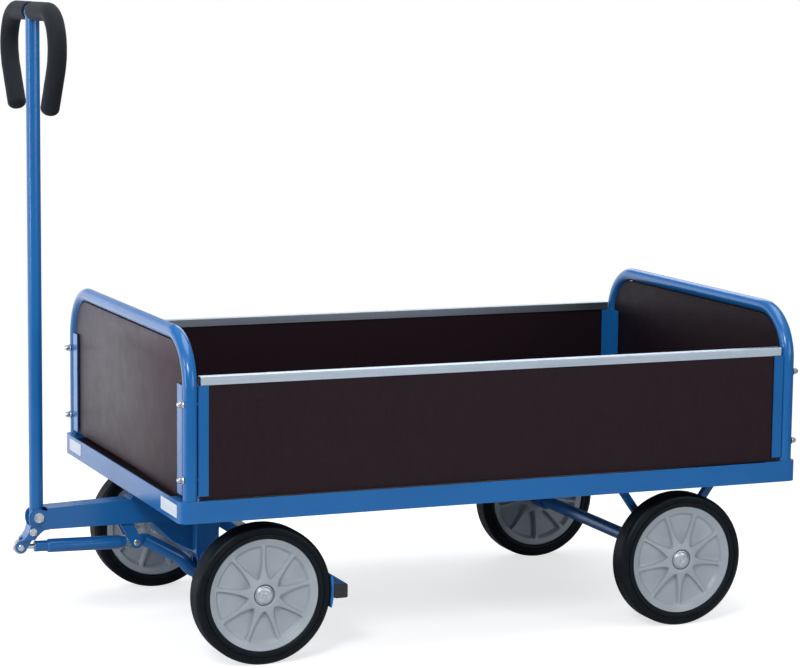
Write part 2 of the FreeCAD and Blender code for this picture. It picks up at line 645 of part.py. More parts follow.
def turntable():
    """Two flat plates on one king bolt: the upper one is welded under the deck."""
    for label, low, high in (("turntable_upper_plate", "upper_plate_low", "upper_plate_high"),
                             ("turntable_lower_plate", "lower_plate_low", "lower_plate_high")):
        body = new_body(label)
        thick = "%s - %s" % (high, low)
        revolve(body, [("plate_bore", 0), ("plate_radius - plate_bevel", 0),
                       ("plate_radius", "plate_bevel"), ("plate_radius", thick),
                       ("plate_bore", thick)])
        place(body, x="-front_axle_back", z=low)
        finish(body)
    bolt = new_body("king_screw")
    revolve(bolt, [(0, 0), ("king_radius", 0), ("king_radius", "king_long"),
                   ("king_head", "king_long"), ("king_head", "king_long + king_head_thick"),
                   (0, "king_long + king_head_thick")])
    place(bolt, x="-front_axle_back", z="upper_plate_high - king_long + weld_gap")
    nut = new_body("king_nut")
    revolve(nut, [("king_radius", 0), ("king_head", 0), ("king_head", "king_nut_thick"),
                  ("king_radius", "king_nut_thick")])
    place(nut, x="-front_axle_back", z="lower_plate_low - king_nut_thick - 2 * weld_gap")
    group("king_bolt", [bolt, nut])


# The nose of one beam cheek, from the drawbar pivot (x forward is negative, z up).
CHEEK_NOSE = [(-15, 14.8, 13), (-15, -14.8, 13), (3, -14.8), (8.5, -24), (19, -23),
              (19, 12.5), (14.1, 11.8), (6, 13.6)]


def drawbar_beam():
    """Hollow beam from the turntable forward to the two drawbar cheeks."""
    body = new_body("drawbar_beam")
    top = "lower_plate_low - weld_gap"
    side = new_sketch(body, "XZ_Plane")
    outline(side, [("-beam_front", "beam_low"), ("-beam_rear", "beam_low"), ("-beam_rear", top),
                   ("-beam_mid_back + beam_step", top), ("-beam_mid_back", "beam_mid_high"),
                   ("-beam_front", "beam_front_high")])
    pad(body, side, "2 * beam_half", symmetric=True)
    cheek = new_sketch(body, "XZ_Plane")
    outline(cheek, [("%s - pivot_back" % p[0], "%s + pivot_high" % p[1]) + p[2:]
                    for p in CHEEK_NOSE])
    pad(body, cheek, "2 * beam_half", symmetric=True)
    hollow = new_sketch(body, "XZ_Plane")
    clear = "(-beam_front - 4 * beam_half)"
    low = "beam_low + beam_wall"
    outline(hollow, [(clear, "beam_low - beam_half"), ("-beam_front", "beam_low - beam_half"),
                     ("-beam_front", low), ("-beam_rear + beam_half", low),
                     ("-beam_rear + beam_half", top + " - beam_wall"),
                     ("-beam_mid_back + beam_step", top + " - beam_wall"),
                     ("-beam_mid_back", "beam_mid_high - beam_wall"),
                     ("-beam_front", "beam_front_high - beam_wall"),
                     ("-beam_front", "beam_front_high + beam_half"),
                     (clear, "beam_front_high + beam_half")])
    pocket(body, hollow, "2 * (beam_half - beam_wall)", symmetric=True)
    holes = new_sketch(body, "XZ_Plane")
    circle(holes, "pivot_bolt_radius + run_play", "-pivot_back", "pivot_high")
    circle(holes, "pin_radius + run_play", "-hanger_back", "hanger_high")
    pocket(body, holes, "4 * beam_half", symmetric=True)
    slot = new_sketch(body, "XY_Plane", "beam_low")
    rectangle(slot, "-hanger_slot_front", "-hanger_slot_rear", "-hanger_slot_half",
              "hanger_slot_half")
    pocket(body, slot, "2 * beam_wall", upward=True)
    king = new_sketch(body, "XY_Plane", "beam_low")
    circle(king, "king_access", "-front_axle_back", 0)
    pocket(body, king, "4 * beam_half", upward=True)
    finish(body)


def axle_post():
    """Square post from the beam to a saddle on the front axle, with a gusset and the
    strap that guides the brake bow."""
    body = new_body("axle_post")
    top = "beam_low - weld_gap"
    post = new_sketch(body, "XY_Plane", "post_bottom")
    rectangle(post, "-post_half", "post_half", "-post_half", "post_half", "post_corner")
    pad(body, post, top + " - post_bottom")
    notch = new_sketch(body, "XZ_Plane")
    outline(notch, [("-2 * post_half", "post_bottom - post_half"),
                    ("-post_half + post_notch_deep", "post_bottom - post_half"),
                    ("-post_half + post_notch_deep", "post_bottom"),
                    ("-post_half", "post_notch_high"), ("-2 * post_half", "post_notch_high")])
    pocket(body, notch, "4 * post_half", symmetric=True)
    gusset = new_sketch(body, "XZ_Plane")
    outline(gusset, [("-post_half + 1", "gusset_low"), ("-post_half + 1", top),
                     ("front_axle_back - gusset_back", top),
                     ("front_axle_back - gusset_knee_back", "gusset_knee_high")])
    pad(body, gusset, "2 * gusset_half", symmetric=True)
    strap = new_sketch(body, "YZ_Plane")
    outer = "guide_inner + guide_wall"
    outline(strap, [("-(%s)" % outer, "guide_top"), ("-(%s)" % outer, "guide_bottom", 6),
                    (outer, "guide_bottom", 6), (outer, "guide_top"),
                    ("guide_inner", "guide_top"), ("guide_inner", "guide_bottom + guide_wall", 3),
                    ("-guide_inner", "guide_bottom + guide_wall", 3),
                    ("-guide_inner", "guide_top")])
    pad(body, strap, "2 * guide_half", symmetric=True)
    bore = new_sketch(body, "XZ_Plane")
    circle(bore, "axle_radius + run_play", 0, "axle_high")
    pocket(body, bore, "4 * post_half", symmetric=True)
    place(body, x="-front_axle_back")
    finish(body)


HEAD_TURN = 10


def cross_pin(label, x, z, radius, near, far, head, head_thick):
    """A six-sided head at y = -near, and a shank that runs from it to y = far."""
    body = new_body(label)
    cap = new_sketch(body, "XZ_Plane", near)
    hexagon(cap, head, HEAD_TURN)
    pad(body, cap, head_thick)
    shank = new_sketch(body, "XZ_Plane", near)
    circle(shank, radius)
    pad(body, shank, "(%s) + (%s)" % (near, far), downward=True)
    return place(body, x="-(%s)" % x, z=z)


def bolt_and_nut(label, x, z, radius, near, far, head, head_thick):
    """A cross pin whose nut has the head's size and starts as far out as the head."""
    bolt = cross_pin(label + "_screw", x, z, radius, near, far, head, head_thick)
    nut = new_body(label + "_nut")
    ring = new_sketch(nut, "XZ_Plane")
    hexagon(ring, head)
    circle(ring, radius)
    pad(nut, ring, head_thick, downward=True)
    place(nut, x="-(%s)" % x, y=near, z=z)
    return group(label, [bolt, nut])


def beam_pins():
    """The drawbar's pivot bolt, and the hanger pin that ends flush with the beam."""
    bolt_and_nut("drawbar_pivot_bolt", "pivot_back", "pivot_high", "pivot_bolt_radius",
                 "beam_half + 2 * weld_gap", "beam_half + 9", "pivot_head", "pivot_head_thick")
    pin = new_body("hanger_pin")
    shank = new_sketch(pin, "XZ_Plane")
    circle(shank, "pin_radius")
    pad(pin, shank, "2 * beam_half", symmetric=True)
    place(pin, x="-hanger_back", z="hanger_high")
    finish(pin)


# ---------------------------------------------------------------- drawbar

def drawbar():
    """Tube that pivots between the lever's cheeks, with a bush at its foot."""
    tube = new_body("drawbar_tube")
    section = new_sketch(tube, "XY_Plane")
    circle(section, "tube_radius", "-drawbar_back", 0)
    circle(section, "tube_radius - tube_wall", "-drawbar_back", 0)
    pad(tube, section, "handle_high - drawbar_foot")
    place(tube, z="drawbar_foot")
    seat = new_sketch(tube, "XZ_Plane")
    circle(seat, "pivot_bush_radius", "-pivot_back", "pivot_high - drawbar_foot")
    pocket(tube, seat, "4 * tube_radius", symmetric=True)
    saddle = new_sketch(tube, "XZ_Plane")
    circle(saddle, "tube_radius + run_play", "-drawbar_back", "handle_high - drawbar_foot")
    pocket(tube, saddle, "4 * tube_radius", symmetric=True)
    finish(tube)
    bush = new_body("drawbar_bush")
    ring = new_sketch(bush, "XZ_Plane")
    circle(ring, "pivot_bush_radius")
    circle(ring, "pivot_bolt_radius + run_play")
    pad(bush, ring, "2 * pivot_bush_half", symmetric=True)
    place(bush, x="-pivot_back", z="pivot_high")
    finish(bush)


def handle_half():
    """Corners (y, z) of the handle's centre line on one side, tube to grip end."""
    return [("0", "handle_high"), ("bow_out", "handle_high", "bow_corner"),
            ("bow_out", "bow_knee_high", "bow_knee"), ("bow_end_out", "bow_end_high")]


def handle():
    """Bow across the top of the drawbar, bent down and inwards, under two foam grips."""
    bow = new_body("handle_bow")
    half = handle_half()
    left = [("-(%s)" % c[0],) + tuple(c[1:]) for c in reversed(half[1:])]
    swept_tube(bow, "YZ_Plane", left + half[1:], "tube_radius", "tube_radius - tube_wall")
    place(bow, x="-drawbar_back")
    finish(bow)
    for label, side in (("right_grip", -1), ("left_grip", 1)):
        grip = new_body(label)
        path = [("%d * grip_gap" % side, "handle_high")]
        path += [("%d * (%s)" % (side, c[0]),) + tuple(c[1:]) for c in half[1:-1]]
        path += [("%d * (bow_end_out - grip_over * (bow_out - bow_end_out))" % side,
                  "bow_end_high - grip_over * (bow_knee_high - bow_end_high)")]
        swept_tube(grip, "YZ_Plane", path, "grip_radius", "tube_radius + grip_play")
        grip_end_plug(grip, side)
        notch = new_sketch(grip, "XY_Plane", "handle_high")
        circle(notch, "tube_radius + grip_play")
        pocket(grip, notch, "2 * grip_radius")
        place(grip, x="-drawbar_back")
        finish(grip)


def grip_end_plug(grip, side):
    """Closed round end of a grip, just beyond the end of the bow."""
    lean = math.atan2(number("bow_out - bow_end_out"), number("bow_knee_high - bow_end_high"))
    along = Vector(-side * math.sin(lean), -math.cos(lean), 0)
    across = Vector(-along.y, along.x, 0)
    base = Vector(side * number("bow_end_out"), number("bow_end_high"), 0) + along * 0.3
    radius = number("grip_radius")
    corners = [base + across * reach + along * drop for reach, drop in
               ((radius, 0), (radius, 5), (radius - 1.5, 9), (radius - 5, 11.5), (0, 12.5))]
    corners.append(base)
    sketch = new_sketch(grip, "YZ_Plane")
    outline(sketch, [(str(round(p.x, 4)), str(round(p.y, 4))) for p in corners])
    feature = grip.newObject("PartDesign::Revolution", "plug")
    feature.Profile = sketch
    feature.ReferenceAxis = (sketch, ["Edge5"])
    feature.Angle = 360
    doc.recompute()


# ---------------------------------------------------------------- brake linkage

# Outlines of the brake lever, from the drawbar pivot (x forward is negative, z up).
LEVER_CHEEK = [(-17, 14.5, 13), (12, 14.5, 12), (12, -22), (9.5, -25.5), (4.3, -29.2),
               (-0.9, -34), (-6.5, -41.5), (-30, -41.5), (-24, -36), (-18.5, -28),
               (-14.5, -15), (-17, -6)]
LEVER_GAP = [(-30, 30), (-30, -15.5), (-10.6, -15.5), (-14.6, -28.5), (-21.5, -38), (30, -38),
             (30, 30)]
LEVER_FORK = [(-7.5, -38), (-26, -38), (-37.3, -47.7), (-30.5, -55), (-22.2, -60.6)]


def brake_lever():
    """Folded lever under the drawbar pivot. A web joins its cheeks in front, and below
    its neck the cheeks step inwards to take the strut's eye."""
    body = new_body("brake_lever")
    cheeks = new_sketch(body, "XZ_Plane")
    outline(cheeks, LEVER_CHEEK)
    pad(body, cheeks, "2 * lever_outer", symmetric=True)
    gap = new_sketch(body, "XZ_Plane")
    outline(gap, LEVER_GAP)
    pocket(body, gap, "2 * lever_inner", symmetric=True)
    pin_x = "(pivot_back - pin_back)"
    pin_z = "(pin_high - pivot_high)"
    fork = new_sketch(body, "XZ_Plane")
    outline(fork, LEVER_FORK)
    pad(body, fork, "2 * fork_plate_outer", symmetric=True)
    end = new_sketch(body, "XZ_Plane")
    circle(end, "lever_end_radius", pin_x, pin_z)
    pad(body, end, "2 * fork_plate_outer", symmetric=True)
    slot = new_sketch(body, "XZ_Plane")
    rectangle(slot, "2 * %s" % pin_x, "lever_neck", "2 * %s" % pin_z, "-lever_neck")
    pocket(body, slot, "2 * fork_plate_inner", symmetric=True)
    holes = new_sketch(body, "XZ_Plane")
    circle(holes, "pivot_bolt_radius + run_play", 0, 0)
    circle(holes, "stop_radius + run_play", "-stop_back", "-stop_down")
    circle(holes, "pin_radius + run_play", pin_x, pin_z)
    pocket(body, holes, "4 * lever_outer", symmetric=True)
    place(body, x="-pivot_back", z="pivot_high")
    finish(body)
    cheek = "lever_outer + weld_gap"
    bolt_and_nut("lever_stop_bolt", "pivot_back + stop_back", "pivot_high - stop_down",
                 "stop_radius", cheek, cheek + " + 6", "stop_head", "stop_head_thick")
    plate = "fork_plate_outer + weld_gap"
    finish(cross_pin("lever_pin", "pin_back", "pin_high", "pin_radius", plate, plate,
                     "pin_head", "pin_head_thick"))


def brake_strut():
    """Threaded stud with an eye, tube, and a fork at the rear, along local X."""
    slope = math.degrees(math.atan2(number("eye_high - pin_high"),
                                    number("pin_back - eye_back")))
    turns = ((AXIS_Y, -slope),)
    stud = new_body("strut_stud")
    shaft = new_sketch(stud, "YZ_Plane", "eye_radius - pin_radius / 2")
    circle(shaft, "stud_radius")
    pad(stud, shaft, "stud_end - eye_radius + pin_radius / 2")
    eye = new_sketch(stud, "XZ_Plane")
    circle(eye, "eye_radius")
    pad(stud, eye, "2 * eye_half", symmetric=True)
    bore = new_sketch(stud, "XZ_Plane")
    circle(bore, "pin_radius + run_play")
    pocket(stud, bore, "4 * eye_half", symmetric=True)
    tube = new_body("strut_tube")
    for start, end, radius in (("collar_start", "collar_end", "collar_radius"),
                               ("collar_end - 2", "strut_length - fork_back", "strut_radius")):
        ring = new_sketch(tube, "YZ_Plane", start)
        circle(ring, radius)
        circle(ring, "stud_radius + stud_play")
        pad(tube, ring, "%s - (%s)" % (end, start))
    fork = new_body("strut_fork")
    block = new_sketch(fork, "XZ_Plane")
    front = "strut_length - fork_back + weld_gap"
    rear = "strut_length + fork_radius"
    outline(block, [(front, "-fork_radius"), (rear, "-fork_radius", "fork_radius - 0.5"),
                    (rear, "fork_radius", "fork_radius - 0.5"), (front, "fork_radius")])
    pad(fork, block, "2 * fork_outer", symmetric=True)
    slot = new_sketch(fork, "XY_Plane")
    rectangle(slot, "strut_length - fork_floor", "strut_length + 2 * fork_radius",
              "-fork_inner", "fork_inner")
    pocket(fork, slot, "4 * fork_radius", symmetric=True)
    eye_hole = new_sketch(fork, "XZ_Plane")
    circle(eye_hole, "bow_pin_radius + open_play", "strut_length", 0)
    pocket(fork, eye_hole, "4 * fork_outer", symmetric=True)
    stem = new_sketch(fork, "YZ_Plane", front + " - fork_stem")
    circle(stem, "stud_radius")
    pad(fork, stem, "fork_stem + 1")
    for body in (stud, tube, fork):
        place(body, x="-pin_back", z="pin_high", turns=turns)
        finish(body)


def hanger_links():
    """Flat links with round ends, hung side by side in a slot of the beam's floor."""
    body = new_body("hanger_link")
    length = "((hanger_run ^ 2 + hanger_drop ^ 2) ^ 0.5)"
    side = new_sketch(body, "XZ_Plane")
    reach = "hanger_radius"
    outline(side, [("-" + reach, reach, reach + " - 0.2"),
                   ("-" + reach, "-%s - %s" % (length, reach), reach + " - 0.2"),
                   (reach, "-%s - %s" % (length, reach), reach + " - 0.2"),
                   (reach, reach, reach + " - 0.2")])
    pad(body, side, "hanger_outer - hanger_inner", symmetric=True)
    holes = new_sketch(body, "XZ_Plane")
    circle(holes, "pin_radius + run_play")
    circle(holes, "bow_pin_radius + run_play", 0, "-" + length)
    pocket(body, holes, "4 * (hanger_outer - hanger_inner)", symmetric=True)
    lean = math.degrees(math.atan2(number("hanger_run"), number("hanger_drop")))
    place(body, x="-hanger_back", y="(hanger_inner + hanger_outer) / 2", z="hanger_high",
          turns=((AXIS_Y, -lean),))
    both_sides("hanger_links", body)


# Flat tongue at the front of the brake bow, from the eye pin (x forward is negative, z up).
BOW_TONGUE = [(-9.5, -9.5, 9), (-9.5, 9.5, 9), (22.5, 12.9), (34.7, 6), (23.3, -14),
              (11.1, -7.1)]


def brake_frame():
    """Bow tube under the front axle, with a tongue in front and the brake bar behind."""
    bow = new_body("brake_bow")
    swept_tube(bow, "XZ_Plane", [
        ("-bow_start_back", "bow_start_high"), ("-bow_front_back", "bow_front_high", 70),
        ("-bow_low_back", "bow_low", 40), ("-bow_rear_back", "bow_low", 80),
        ("-bow_end_back", "bow_join_high")], "tube_radius", "tube_radius - tube_wall")
    tongue = new_sketch(bow, "XZ_Plane")
    outline(tongue, [("%s - eye_back" % p[0], "%s + eye_high" % p[1]) + p[2:]
                     for p in BOW_TONGUE])
    pad(bow, tongue, "2 * tongue_half", symmetric=True)
    end = new_sketch(bow, "YZ_Plane", "-bar_back - bar_half")
    rectangle(end, "-2 * tube_radius", "2 * tube_radius", "bow_join_high - 2 * tube_radius",
              "bow_join_high + 2 * tube_radius")
    pocket(bow, end, "4 * tube_radius", upward=True)
    hole = new_sketch(bow, "XZ_Plane")
    circle(hole, "bow_pin_radius + run_play", "-eye_back", "eye_high")
    pocket(bow, hole, "4 * tube_radius", symmetric=True)
    finish(bow)
    finish(cross_pin("bow_pin", "eye_back", "eye_high", "bow_pin_radius",
                     "hanger_outer + 2 * weld_gap", "hanger_outer + 1", "bow_pin_head",
                     "bow_pin_head_thick"))
    brake_bar()


def brake_bar():
    """Square tube behind the front wheels, its end plugs, and a shoe for each tyre."""
    bar = new_body("brake_bar")
    section = new_sketch(bar, "XZ_Plane")
    rectangle(section, "-bar_half", "bar_half", "-bar_half", "bar_half", "bar_corner")
    rectangle(section, "-bar_half + bar_wall", "bar_half - bar_wall",
              "-bar_half + bar_wall", "bar_half - bar_wall")
    pad(bar, section, "2 * bar_reach", symmetric=True)
    place(bar, x="-bar_back", z="bar_high")
    finish(bar)
    plug = new_body("bar_plug")
    plate = new_sketch(plug, "XZ_Plane", "bar_reach")
    rectangle(plate, "-bar_half", "bar_half", "-bar_half", "bar_half", "bar_cap_corner")
    pad(plug, plate, "bar_cap")
    stem = new_sketch(plug, "XZ_Plane", "bar_reach")
    inner = "(bar_half - bar_wall - hole_play)"
    rectangle(stem, "-" + inner, inner, "-" + inner, inner)
    pad(plug, stem, "bar_stem", downward=True)
    place(plug, x="-bar_back", z="bar_high")
    both_sides("brake_bar_caps", plug)
    shoe = new_body("brake_shoe")
    inner = "wheel_radius + shoe_gap"
    outer = "wheel_radius + shoe_gap + shoe_thick"
    revolve(shoe, [(inner, "-shoe_half"), (outer, "-shoe_half"), (outer, "shoe_half"),
                   (inner, "shoe_half")])
    reach = "2 * wheel_radius"
    keep = new_sketch(shoe, "XY_Plane")
    rectangle(keep, "-" + reach, "shoe_ahead", "-" + reach, reach)
    pocket(shoe, keep, "4 * shoe_half", symmetric=True)
    trim = new_sketch(shoe, "XY_Plane")
    rectangle(trim, "wheel_radius / 2", reach, "shoe_bottom", reach)
    rectangle(trim, "wheel_radius / 2", reach, "-" + reach, "-shoe_top")
    pocket(shoe, trim, "4 * shoe_half", symmetric=True)
    place(shoe, x="-front_axle_back", y="front_wheel_out - 1", z="axle_high",
          turns=((AXIS_X, 90),))
    both_sides("brake_shoes", shoe)


# Both blank plates as (y low, y high, z low, z high).
BLANKS = ((-350, -259, 276, 299), (254, 332, 278, 301))


def blank_plates():
    """Two thin blank plates on the front edge of the frame."""
    plates = []
    for low, high, bottom, top in BLANKS:
        body = new_body("plate")
        face = new_sketch(body, "YZ_Plane")
        rectangle(face, low, high, bottom, top, "blank_corner")
        pad(body, face, "blank_thick")
        place(body, x="-frame_length / 2 - blank_thick")
        plates.append(body)
    group("blank_plates", plates)


# ---------------------------------------------------------------- build and write

deck_frame()
cross_members()
deck_board()
corner_sockets()
end_tube("front_end_tube", -1)
end_tube("rear_end_tube", 1)
end_panel("front_end_panel", -1)
end_panel("rear_end_panel", 1)
corner_profiles()
corner_fasteners()
side_wall("right", -1)
side_wall("left", 1)
axle("front", "-front_axle_back", "front_wheel_out")
axle("rear", "rear_axle_ahead", "rear_wheel_out")
wheel("front_right", "-front_axle_back", -1, "front_wheel_out", 90)
wheel("front_left", "-front_axle_back", 1, "front_wheel_out", 90)
wheel("rear_right", "rear_axle_ahead", -1, "rear_wheel_out", -90)
wheel("rear_left", "rear_axle_ahead", 1, "rear_wheel_out", -90)
rear_axle_struts()
turntable()
drawbar_beam()
axle_post()
beam_pins()
drawbar()
handle()
brake_lever()
brake_strut()
hanger_links()
brake_frame()
blank_plates()

doc.recompute()
for obj in doc.Objects:
    if "Invalid" in obj.State or "Error" in obj.State:
        raise RuntimeError("%s is %s" % (obj.Label, obj.State))
for node in nodes:
    if node.Shape.isNull() or not node.Shape.isValid():
        raise RuntimeError("%s has no valid shape" % node.Label)
os.makedirs("parts", exist_ok=True)
for node in nodes:
    node.Shape.exportStep("parts/%s.step" % node.Label)
print("%d nodes written" % len(nodes))
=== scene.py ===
import json
import math

import bpy
import numpy as np
from mathutils import Matrix, Vector, noise


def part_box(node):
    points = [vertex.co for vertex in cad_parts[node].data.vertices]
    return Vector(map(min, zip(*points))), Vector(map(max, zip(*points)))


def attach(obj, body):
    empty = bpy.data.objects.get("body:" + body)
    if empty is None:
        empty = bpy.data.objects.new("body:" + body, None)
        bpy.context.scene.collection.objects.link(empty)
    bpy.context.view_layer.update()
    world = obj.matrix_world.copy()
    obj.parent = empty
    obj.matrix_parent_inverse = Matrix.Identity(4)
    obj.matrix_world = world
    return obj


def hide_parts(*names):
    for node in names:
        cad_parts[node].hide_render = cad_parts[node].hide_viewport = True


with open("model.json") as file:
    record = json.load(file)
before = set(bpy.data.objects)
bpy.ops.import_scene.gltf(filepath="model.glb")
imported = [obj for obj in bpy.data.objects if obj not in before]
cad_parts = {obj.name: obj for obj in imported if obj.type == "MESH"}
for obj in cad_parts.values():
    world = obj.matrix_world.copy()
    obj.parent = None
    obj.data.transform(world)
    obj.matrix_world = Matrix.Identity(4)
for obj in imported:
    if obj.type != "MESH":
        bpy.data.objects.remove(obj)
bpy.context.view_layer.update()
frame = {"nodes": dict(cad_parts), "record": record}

# Looks of the platform handcart. Metres, in the row's frame: +Z up, drawbar at -X. -Y is
# the right-hand side for a person who stands at the drawbar and faces the cart. Places
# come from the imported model; shapes that it doesn't hold are given here in millimetres.

MM = 0.001
FULL_TURN = 2 * math.pi
SIDES = {"right": -1, "left": 1}


def box_centre(node):
    """Middle of a CAD node's box."""
    low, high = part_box(node)
    return (low + high) / 2


# ---------------------------------------------------------------- materials

class Surface:
    """One procedural material, built node by node. Textures read object metres."""

    def __init__(self, name, colour, roughness, metallic=0.0):
        self.material = bpy.data.materials.new(name)
        self.material.use_nodes = True
        self.tree = self.material.node_tree
        self.shader = next(n for n in self.tree.nodes if n.type == "BSDF_PRINCIPLED")
        self.point = self.node("ShaderNodeTexCoord").outputs["Object"]
        self.give("Base Color", colour + (1.0,))
        self.give("Roughness", roughness)
        self.give("Metallic", metallic)
        self.normal = None

    def node(self, kind, inputs=None, **settings):
        """A new node with its settings, fed from sockets or given plain values."""
        node = self.tree.nodes.new(kind)
        for key, value in settings.items():
            setattr(node, key, value)
        for key, value in (inputs or {}).items():
            self.join(node.inputs[key], value)
        return node

    def join(self, socket, value):
        """Link a socket to another one, or set its value."""
        if isinstance(value, bpy.types.NodeSocket):
            self.tree.links.new(value, socket)
        else:
            socket.default_value = value

    def give(self, socket, value):
        """Feed one input of the shader."""
        self.join(self.shader.inputs[socket], value)

    def calc(self, operation, first, second=0.0):
        """Any operation of the Math node."""
        return self.node("ShaderNodeMath", {0: first, 1: second}, operation=operation).outputs[0]

    def span(self, value, low, high, to_low=0.0, to_high=1.0):
        """Map low..high to to_low..to_high, held at both ends."""
        inputs = {"Value": value, "From Min": low, "From Max": high,
                  "To Min": to_low, "To Max": to_high}
        return self.node("ShaderNodeMapRange", inputs).outputs["Result"]

    def mix(self, factor, first, second):
        """Blend two colours (tuples or sockets)."""
        first, second = (c + (1.0,) if isinstance(c, tuple) else c for c in (first, second))
        node = self.node("ShaderNodeMix", {0: factor, 6: first, 7: second}, data_type="RGBA")
        return node.outputs[2]

    def tones(self, cloud, first, second, low=0.35, high=0.7):
        """Two colours, the second where the cloud is dense."""
        return self.mix(self.span(cloud, low, high), first, second)

    def cloud(self, size, detail, stretch=None, rough=0.5):
        """Noise with features of about the given size in metres, 0 to 1."""
        point = self.point
        if stretch:
            scaled = self.node("ShaderNodeMapping", {"Vector": point, "Scale": stretch})
            point = scaled.outputs["Vector"]
        inputs = {"Vector": point, "Scale": 1 / size, "Detail": detail, "Roughness": rough}
        return self.node("ShaderNodeTexNoise", inputs).outputs["Fac"]

    def axes(self, vector):
        """The three components of a vector."""
        return self.node("ShaderNodeSeparateXYZ", {0: vector}).outputs

    def facing(self):
        """Components of the face normal in the object's own frame."""
        geometry = self.node("ShaderNodeNewGeometry").outputs["True Normal"]
        turned = self.node("ShaderNodeVectorTransform", {0: geometry}, vector_type="NORMAL",
                           convert_from="WORLD", convert_to="OBJECT")
        return self.axes(turned.outputs[0])

    def rounded_edges(self, radius):
        """Soften sharp edges in shading; returns how near a point is to an edge."""
        soft = self.node("ShaderNodeBevel", {"Radius": radius}, samples=4).outputs[0]
        sharp = self.node("ShaderNodeNewGeometry").outputs["Normal"]
        agree = self.node("ShaderNodeVectorMath", {0: soft, 1: sharp}, operation="DOT_PRODUCT")
        self.normal = soft
        self.give("Normal", soft)
        on_flat, on_edge = 0.995, 0.9
        return self.span(agree.outputs["Value"], on_flat, on_edge)

    def bump(self, height, distance, strength):
        """Relief of the given height in metres, on top of what is there already."""
        inputs = {"Height": height, "Distance": distance, "Strength": strength}
        if self.normal is not None:
            inputs["Normal"] = self.normal
        self.normal = self.node("ShaderNodeBump", inputs).outputs[0]
        self.give("Normal", self.normal)


def blue_paint():
    """Glossy powder coat: orange peel, faint clouding, edges lighter: partly worn thin, partly a
    painted highlight.
    """
    base = (0.0085, 0.120, 0.360)
    s = Surface("blue_paint", base, 0.24)
    edge = s.rounded_edges(0.9 * MM)
    colour = s.tones(s.cloud(0.16, 4), base, (0.0097, 0.131, 0.388), high=0.65)
    speck = s.span(s.cloud(3 * MM, 2), 0.64, 0.74, 0.0, 0.08)
    colour = s.mix(speck, colour, (0.03, 0.18, 0.46))
    # edges lighter in patches: partly wear, partly a painted highlight along every edge
    edge_wear_and_highlight = s.calc("MULTIPLY", edge, s.span(s.cloud(0.012, 4), 0.42, 0.66, 0.03, 0.32))
    s.give("Base Color", s.mix(edge_wear_and_highlight, colour, (0.06, 0.23, 0.50)))
    s.give("Roughness", s.span(s.cloud(0.05, 3), 0.3, 0.7, 0.19, 0.26))
    s.give("Specular IOR Level", 0.42)
    s.give("Coat Weight", 0.2)
    s.give("Coat Roughness", 0.11)
    s.bump(s.cloud(1.3 * MM, 2), 0.03 * MM, 0.45)
    return s.material


def film_board(name, thick_axis, shine):
    """Film-faced plywood: smooth outside, wire-mesh print inside, plies on the edges.

    Walls have their inside towards the origin, the deck has it on top."""
    s = Surface(name, (0.0142, 0.0072, 0.0108), 0.4)
    normal = s.facing()
    place = s.axes(s.point)
    axis = "XYZ".index(thick_axis)
    if thick_axis == "Z":
        inner = s.calc("GREATER_THAN", normal[axis], 0.5)
    else:
        inner = s.calc("LESS_THAN", s.calc("MULTIPLY", normal[axis], place[axis]), 0.0)
    flat = s.calc("GREATER_THAN", s.calc("ABSOLUTE", normal[axis]), 0.5)
    wire_pitch, ply_pair = 3.2 * MM, 2.8 * MM
    wires = []
    for other in range(3):
        if other != axis:
            wave = s.calc("SINE", s.calc("MULTIPLY", place[other], math.pi / wire_pitch))
            wires.append(s.calc("POWER", s.calc("ABSOLUTE", wave), 3.0))
    mesh = s.calc("MULTIPLY", s.calc("MAXIMUM", *wires), inner)
    grain = s.cloud(0.0030, 5, stretch=(0.3, 0.3, 1.0), rough=0.65)
    grain_across = s.cloud(0.0022, 4, stretch=(1.0, 1.0, 0.08), rough=0.65)
    linen = s.calc("ADD", grain, grain_across)
    blotch = s.span(s.cloud(0.07, 5), 0.35, 0.7, 0.0, 0.22)
    face = s.tones(linen, (0.0112, 0.0054, 0.0084), (0.0172, 0.0090, 0.0132), 0.75, 1.25)
    face = s.mix(blotch, face, (0.0190, 0.0095, 0.0125))
    # painted sheen: the outer face of an end board is lightened and reddened
    if thick_axis == "X":
        outer = s.calc("SUBTRACT", 0.7, s.calc("MULTIPLY", inner, 0.7))
        face = s.mix(outer, face, (0.0340, 0.0100, 0.0130))
    face = s.mix(s.calc("MULTIPLY", mesh, 0.45), face, (0.0065, 0.0034, 0.0050))
    layer = s.calc("SINE", s.calc("MULTIPLY", place[axis], FULL_TURN / ply_pair))
    plies = s.tones(layer, (0.020, 0.0075, 0.0052), (0.046, 0.0185, 0.0110), -0.3, 0.3)
    s.give("Base Color", s.mix(flat, plies, face))
    worn = s.span(s.cloud(0.03, 4), 0.3, 0.7, 0.40, 0.46)
    s.give("Roughness", s.calc("ADD", worn, s.calc("MULTIPLY", inner, 0.08)))
    s.give("Specular IOR Level", s.span(inner, 0.0, 1.0, shine, 0.09))
    s.give("Specular Tint", (1.0, 0.83, 0.86, 1.0))
    s.rounded_edges(0.5 * MM)
    s.bump(linen, 0.035 * MM, 0.4)
    s.bump(mesh, 0.28 * MM, 0.9)
    return s.material


